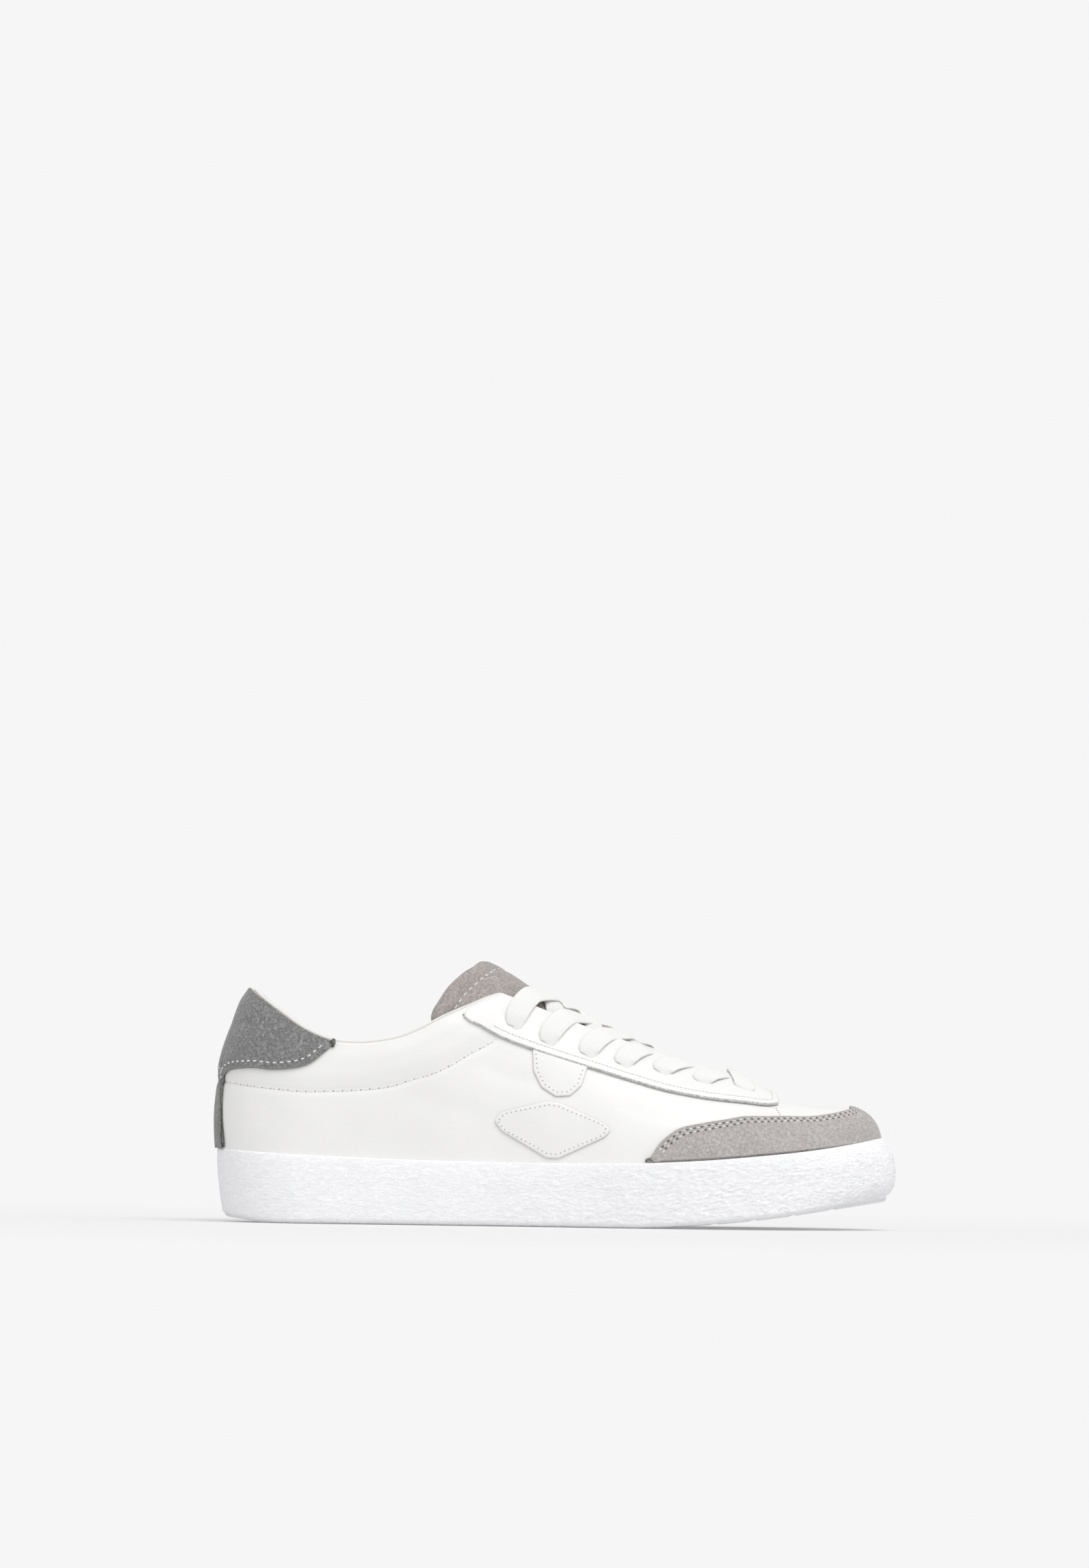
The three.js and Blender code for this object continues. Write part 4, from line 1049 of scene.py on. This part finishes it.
# The two plain patches on the outer side
patches = dict(
    tab=dict(thickness=1.0, at=[0.462, 0.464, 0.476, 0.497, 0.518, 0.534, 0.545], up=[0.66, 0.52, 0.44, 0.405, 0.43, 0.51, 0.68]),
    lozenge=dict(thickness=1.0, at=[0.408, 0.418, 0.485, 0.503, 0.57, 0.578, 0.57, 0.503, 0.485, 0.418],
                 up=[0.21, 0.165, 0.03, 0.03, 0.19, 0.24, 0.28, 0.37, 0.365, 0.255]),
    count=260)


def closedOutline(xs, zs, count, soften=5):
    p = np.stack([xs, zs], -1)
    q = np.concatenate([p, p[:1]])
    run = np.concatenate([[0], np.cumsum(np.linalg.norm(np.diff(q, axis=0), axis=1))])
    t = np.linspace(0, run[-1], count, endpoint=False)
    out = np.stack([np.interp(t, run, q[:, 0]), np.interp(t, run, q[:, 1])], -1)
    for _ in range(soften):
        out = (np.roll(out, 1, 0) + 2 * out + np.roll(out, -1, 0)) / 4
    return out


def makePatch(name, table, replaced):
    edge = closedOutline(*tableHeights(table), patches["count"])
    middle = edge.mean(0)
    shares = np.concatenate([[1, 0.992, 0.975, 0.955, 0.93], np.linspace(0.88, 0.06, 16), [0.0]])
    flat = middle + (edge - middle)[:, None] * shares[None, :, None]
    turn, rise = locate(flat[..., 0], flat[..., 1])
    near = np.linalg.norm(edge - middle, axis=1)[:, None] * (1 - shares)[None, :]
    soft = np.sqrt(np.maximum(0, 1 - (1 - np.clip(near / 0.8, 0, 1)) ** 2))
    rows = onSkin(turn, rise, table["thickness"] - 0.4 + 0.4 * soft)
    piece = addMesh(name, rows, gridFaces(rows.shape[0], rows.shape[1], closed=True), [patchLeather, patchEdge])
    mergePoints(piece)
    if piece.data.polygons[len(piece.data.polygons) // 2].normal.y > 0:
        piece.data.flip_normals()
    thicken(piece, table["thickness"] + 0.3, rim=1)
    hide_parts(replaced)
    return edge


tabEdge = makePatch("sideTabLeather", patches["tab"], "side_tab")
lozengeEdge = makePatch("sideLozengeLeather", patches["lozenge"], "side_lozenge")
print("patches ready")


# Stitches, and pinholes and sewn dots drawn as beads of painted shade for the needle holes: one small bead is set on
# every point, turned along the row
def rowNodes():
    tree = bpy.data.node_groups.new("sewnRow", "GeometryNodeTree")
    face = tree.interface
    face.new_socket("Geometry", in_out="INPUT", socket_type="NodeSocketGeometry")
    for label in ("Length", "Width", "Height"):
        face.new_socket(label, in_out="INPUT", socket_type="NodeSocketFloat")
    face.new_socket("Finish", in_out="INPUT", socket_type="NodeSocketMaterial")
    face.new_socket("Geometry", in_out="OUTPUT", socket_type="NodeSocketGeometry")
    add, join = tree.nodes.new, tree.links.new
    source, result = add("NodeGroupInput"), add("NodeGroupOutput")
    bead, resize, half = add("GeometryNodeMeshUVSphere"), add("GeometryNodeTransform"), add("ShaderNodeCombineXYZ")
    bead.inputs["Segments"].default_value, bead.inputs["Rings"].default_value = 8, 5
    bead.inputs["Radius"].default_value = 0.5
    aim, top = add("GeometryNodeInputNamedAttribute"), add("GeometryNodeInputNamedAttribute")
    for node, label in ((aim, "aim"), (top, "top")):
        node.data_type = "FLOAT_VECTOR"
        node.inputs["Name"].default_value = label
    turnAim, turnTop = add("FunctionNodeAlignRotationToVector"), add("FunctionNodeAlignRotationToVector")
    turnAim.axis, turnTop.axis, turnTop.pivot_axis = "X", "Z", "X"
    place, real, finish = add("GeometryNodeInstanceOnPoints"), add("GeometryNodeRealizeInstances"), add("GeometryNodeSetMaterial")
    for k, label in enumerate(("Length", "Width", "Height")):
        join(source.outputs[label], half.inputs[k])
    join(half.outputs[0], resize.inputs["Scale"])
    join(bead.outputs["Mesh"], resize.inputs["Geometry"])
    join(aim.outputs["Attribute"], turnAim.inputs["Vector"])
    join(turnAim.outputs[0], turnTop.inputs["Rotation"])
    join(top.outputs["Attribute"], turnTop.inputs["Vector"])
    join(source.outputs["Geometry"], place.inputs["Points"])
    join(resize.outputs["Geometry"], place.inputs["Instance"])
    join(turnTop.outputs[0], place.inputs["Rotation"])
    join(place.outputs[0], real.inputs[0])
    join(real.outputs[0], finish.inputs["Geometry"])
    join(source.outputs["Finish"], finish.inputs["Material"])
    join(finish.outputs[0], result.inputs[0])
    return tree


sewnRow = rowNodes()


def sew(name, rows, length, width, height, finish):
    points, aims, tops = (np.concatenate([row[k] for row in rows]) for k in range(3))
    mesh = bpy.data.meshes.new(name + "Points")
    mesh.from_pydata((points * mm).tolist(), [], [])
    for label, values in (("aim", aims), ("top", tops)):
        mesh.attributes.new(label, "FLOAT_VECTOR", "POINT").data.foreach_set("vector", values.astype(np.float32).ravel())
    holder = bpy.data.objects.new(name + "Points", mesh)
    bpy.context.scene.collection.objects.link(holder)
    nodes = holder.modifiers.new("sewn", "NODES")
    values = dict(Length=length * mm, Width=width * mm, Height=height * mm, Finish=finish)
    for item in sewnRow.interface.items_tree:
        if item.in_out == "INPUT" and item.name in values:
            nodes[item.identifier] = values[item.name]
    nodes.node_group = sewnRow
    for item in sewnRow.interface.items_tree:
        if item.in_out == "INPUT" and item.name in values:
            nodes[item.identifier] = values[item.name]
    evaluated = holder.evaluated_get(bpy.context.evaluated_depsgraph_get())
    made = bpy.data.meshes.new_from_object(evaluated)
    bpy.data.objects.remove(holder)
    made.polygons.foreach_set("use_smooth", np.ones(len(made.polygons), dtype=bool))
    piece = bpy.data.objects.new(name, made)
    bpy.context.scene.collection.objects.link(piece)
    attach(piece, "root")
    return piece


# Even places along a path on the leather, with their direction and the way up
def places(path, pitch, lift, start=0.0, end=0.0, jitter=0.0):
    fine = lastPoint(*path)
    run = np.concatenate([[0], np.cumsum(np.linalg.norm(np.diff(fine, axis=0), axis=1))])
    t = np.arange(start, run[-1] - end, pitch)
    t = t + rng.normal(0, jitter, len(t)) if jitter else t
    turn, rise = np.interp(t, run, path[0]), np.interp(t, run, path[1])
    point = onSkin(turn, rise, lift)
    ahead = np.stack([np.interp(t + 0.5, run, fine[:, k]) - np.interp(t - 0.5, run, fine[:, k]) for k in range(3)], -1)
    return point, unit(ahead), lastNormal(turn, rise)


def lineOf(turn, rise, distance):
    keep = np.linspace(0, len(turn) - 1, max(40, len(turn) // 2)).astype(int)
    return shifted((turn[keep], rise[keep]), distance)


def cutShort(path, start, end):
    return path[0][start:len(path[0]) - end], path[1][start:len(path[1]) - end]


sewing = dict(
    guardPitch=3.1, guardRows=(1.9, 3.5), heelPitch=2.9, heelIn=2.9, collarPitch=3.8, stayPitch=3.2, stayIn=3.1,
    patchPitch=2.0, patchIn=1.6, tonguePitch=3.4)

guardPaths = [lineOf(guardTurns[6:-6], guardTop[6:-6], -d) for d in sewing["guardRows"]]
guardBeads = [places(path, sewing["guardPitch"], guard["thickness"] + 0.02, 1, 1.0, 0.06)
              for path in guardPaths]
guardGaps = [places(path, sewing["guardPitch"], guard["thickness"] + 0.02, 2.55, 1.0, 0.06)
             for path in guardPaths]
sew("guardStitches", guardBeads, 1.5, 0.62, 0.5, whiteThread)
# Beads of painted shade for the needle holes between the guard's stitches
sew("guardPinholes", guardGaps, 1.25, 0.95, 0.24, holeDark)

inward = (allTurns > -last + 0.012) & (allTurns < last - 0.012)
tabPath = lineOf(allTurns[inward], np.where(np.abs(allTurns) <= stripTurn, tabBottom[16], allBottom)[inward], sewing["heelIn"])
sew("heelStitches", [places(tabPath, sewing["heelPitch"], heelTab["thickness"] + 0.05, 1.5, 1.5, 0.05)], 1.9, 0.75, 0.65,
    whiteThread)
# Beads of painted shade for the needle holes between the heel tab's stitches
sew("heelPinholes", [places(tabPath, sewing["heelPitch"], heelTab["thickness"] + 0.02, 2.95, 1.5, 0.05)], 0.8, 0.6, 0.24,
    holeDark)

collarPath = pathFromSide(collarStitch["x"][1:], collarStitch["z"][1:], 1.0)
collarPaths = [collarPath, mirrored(collarPath)]
# Beads of painted shade for the needle holes along the collar's stitch line
sew("collarDots", [places(path, sewing["collarPitch"], 0.02, 1, 2) for path in collarPaths], 0.9, 0.7, 0.25, holePale)
sew("collarStitches", [places(path, sewing["collarPitch"], 0.0, 2.9, 2) for path in collarPaths], 2.4, 0.7, 0.5, whiteThread)

stayPath = cutShort(lineOf(stayTurns, stayBottom, sewing["stayIn"]), 8, 8)
sew("eyestayStitches", [places(stayPath, sewing["stayPitch"], eyestay["thickness"] + 0.02, 1, 1)], 2.2, 0.6, 0.42,
    whiteThread)
# Beads of painted shade for the needle holes between the eyestay's stitches
sew("eyestayPinholes", [places(stayPath, sewing["stayPitch"], eyestay["thickness"], 2.6, 1)], 0.6, 0.5, 0.2, holePale)

patchHoles = []
for edge in (tabEdge, lozengeEdge):
    middle = edge.mean(0)
    out = edge - middle
    inner = middle + out * (1 - sewing["patchIn"] / np.linalg.norm(out, axis=1))[:, None]
    inner = np.concatenate([inner, inner[:1]])
    turn, rise = locate(inner[:, 0], inner[:, 1])
    low = lastPoint(turn, rise)
    shown = low[:, 2] < stayLow(low[:, 0]) - 0.8
    if not shown.all():
        first = int(np.argmax(shown & ~np.roll(shown, 1)))
        turn, rise, shown = (np.roll(v[:-1], -first) for v in (turn, rise, shown))
        turn, rise = turn[:shown.sum()], rise[:shown.sum()]
    patchHoles.append(places((turn, rise), sewing["patchPitch"], 1.0, 0.5, 0.2))
# Beads of painted shade for the needle holes round the patches
sew("patchPinholes", patchHoles, 0.62, 0.55, 0.22, holePale)

seam = pathFromSide([91.0, 92.0, 92.9], [50.6, 49.0, 47.4], 0.5)
# Beads of painted shade for the needle holes along the vamp seam
sew("vampSeam", [places(path, 1.35, 0.0, 0.3, 0.1) for path in (seam, mirrored(seam))], 0.9, 0.4, 0.25, holeDark)

# The tongue's line of stitches follows its top edge
seamLine, seamUp = [], []
for k in range(4, base.shape[1] - 4):
    i = int(np.searchsorted(fromTop[:, k], tongue["seam"]))
    share = (tongue["seam"] - fromTop[i - 1, k]) / (fromTop[i, k] - fromTop[i - 1, k])
    seamLine.append(outer[i - 1, k] + (outer[i, k] - outer[i - 1, k]) * share)
    seamUp.append(tNormal[i, k])
seamLine, seamUp = np.array(seamLine), np.array(seamUp)
run = np.concatenate([[0], np.cumsum(np.linalg.norm(np.diff(seamLine, axis=0), axis=1))])
t = np.arange(1, run[-1] - 1, sewing["tonguePitch"])
seamPoint = np.stack([np.interp(t, run, seamLine[:, k]) for k in range(3)], -1)
seamTop = unit(np.stack([np.interp(t, run, seamUp[:, k]) for k in range(3)], -1))
seamAim = unit(np.stack([np.interp(t + 0.5, run, seamLine[:, k]) - np.interp(t - 0.5, run, seamLine[:, k]) for k in range(3)], -1))
sew("tongueStitches", [(seamPoint + seamTop * 0.15, seamAim, seamTop)], 2.5, 0.7, 0.6, whiteThread)
print("stitches ready")

# Camera at the photograph's place: the ground under the near side falls on one point of the frame
shot = dict(width=1596, height=2299, groundPixel=(814.8, 1799.9), mmPerPixel=0.28626, distance=3000.0,
            roll=0.8, rise=0.85, near=-45.0)  # rise is the view's angle down onto the shoe
camData = bpy.data.cameras.new("sideCamera")
camera = bpy.data.objects.new("sideCamera", camData)
bpy.context.scene.collection.objects.link(camera)
bpy.context.scene.camera = camera
camData.sensor_width = 36
camData.lens = 36 * shot["distance"] / (shot["mmPerPixel"] * shot["height"])
offX = (shot["groundPixel"][0] - shot["width"] / 2) * shot["mmPerPixel"]
offY = (shot["height"] / 2 - shot["groundPixel"][1]) * shot["mmPerPixel"]
roll, tilt = math.radians(shot["roll"]), math.radians(shot["rise"]) - math.atan2(-offY, shot["distance"])
backward = Vector((0, -math.cos(tilt), math.sin(tilt)))
level, upright = Vector((1, 0, 0)), Vector((0, math.sin(tilt), math.cos(tilt)))
right = level * math.cos(roll) + upright * math.sin(roll)
upward = upright * math.cos(roll) - level * math.sin(roll)
closer = (shot["distance"] + shot["near"]) / shot["distance"]
eye = Vector((0, shot["near"], 0)) + (backward * shot["distance"] - right * offX - upward * offY) * closer
camera.matrix_world = Matrix((
    (right.x, upward.x, backward.x, eye.x * mm), (right.y, upward.y, backward.y, eye.y * mm),
    (right.z, upward.z, backward.z, eye.z * mm), (0, 0, 0, 1)))
camData.clip_start, camData.clip_end = 0.05, 60
print("camera ready")

# Stage: a pale floor that fades into the even background, and large soft lights
stage = dict(pale=0.922, floorRadius=2.5, worldStrength=0.73, sunStrength=1.4, sunAngle=40, nearClear=0.2)
bpy.context.scene.view_settings.view_transform = "Standard"
world = bpy.data.worlds.new("paleRoom")
bpy.context.scene.world = world
world.use_nodes = True
wt = world.node_tree
wt.nodes.clear()
wOut = wt.nodes.new("ShaderNodeOutputWorld")
seen, lit = wt.nodes.new("ShaderNodeBackground"), wt.nodes.new("ShaderNodeBackground")
seen.inputs[0].default_value = (stage["pale"], stage["pale"], stage["pale"], 1)
lit.inputs[0].default_value = (1, 1, 1, 1)
lit.inputs[1].default_value = stage["worldStrength"]
path, pick = wt.nodes.new("ShaderNodeLightPath"), wt.nodes.new("ShaderNodeMixShader")
wt.links.new(path.outputs["Is Camera Ray"], pick.inputs[0])
wt.links.new(lit.outputs[0], pick.inputs[1])
wt.links.new(seen.outputs[0], pick.inputs[2])
wt.links.new(pick.outputs[0], wOut.inputs[0])

sun = bpy.data.objects.new("softKey", bpy.data.lights.new("softKey", "SUN"))
sun.data.energy, sun.data.angle = stage["sunStrength"], math.radians(stage["sunAngle"])
sun.rotation_euler = (math.radians(30), math.radians(16), 0)
bpy.context.scene.collection.objects.link(sun)

floorMesh = bpy.data.meshes.new("paleFloor")
r = stage["floorRadius"]
floorMesh.from_pydata([(-r, -r, 0), (r, -r, 0), (r, r, 0), (-r, r, 0)], [], [(0, 1, 2, 3)])
floor = bpy.data.objects.new("paleFloor", floorMesh)
bpy.context.scene.collection.objects.link(floor)
paper = bpy.data.materials.new("palePaper")
paper.use_nodes = True
nodes, links = paper.node_tree.nodes, paper.node_tree.links
nodes.clear()
out = nodes.new("ShaderNodeOutputMaterial")
coat, clear, blend = nodes.new("ShaderNodeBsdfDiffuse"), nodes.new("ShaderNodeBsdfTransparent"), nodes.new("ShaderNodeMixShader")
coat.inputs[0].default_value = (0.8, 0.8, 0.8, 1)
spot, size2 = nodes.new("ShaderNodeTexCoord"), nodes.new("ShaderNodeVectorMath")
size2.operation = "LENGTH"
fadeOut = nodes.new("ShaderNodeMapRange")
fadeOut.inputs[1].default_value, fadeOut.inputs[2].default_value = 0.22, 0.6
fadeOut.inputs[3].default_value = stage["nearClear"]
links.new(spot.outputs["Object"], size2.inputs[0])
links.new(size2.outputs[1], fadeOut.inputs[0])
links.new(fadeOut.outputs[0], blend.inputs[0])
links.new(coat.outputs[0], blend.inputs[1])
links.new(clear.outputs[0], blend.inputs[2])
links.new(blend.outputs[0], out.inputs[0])
floorMesh.materials.append(paper)
print("stage ready")
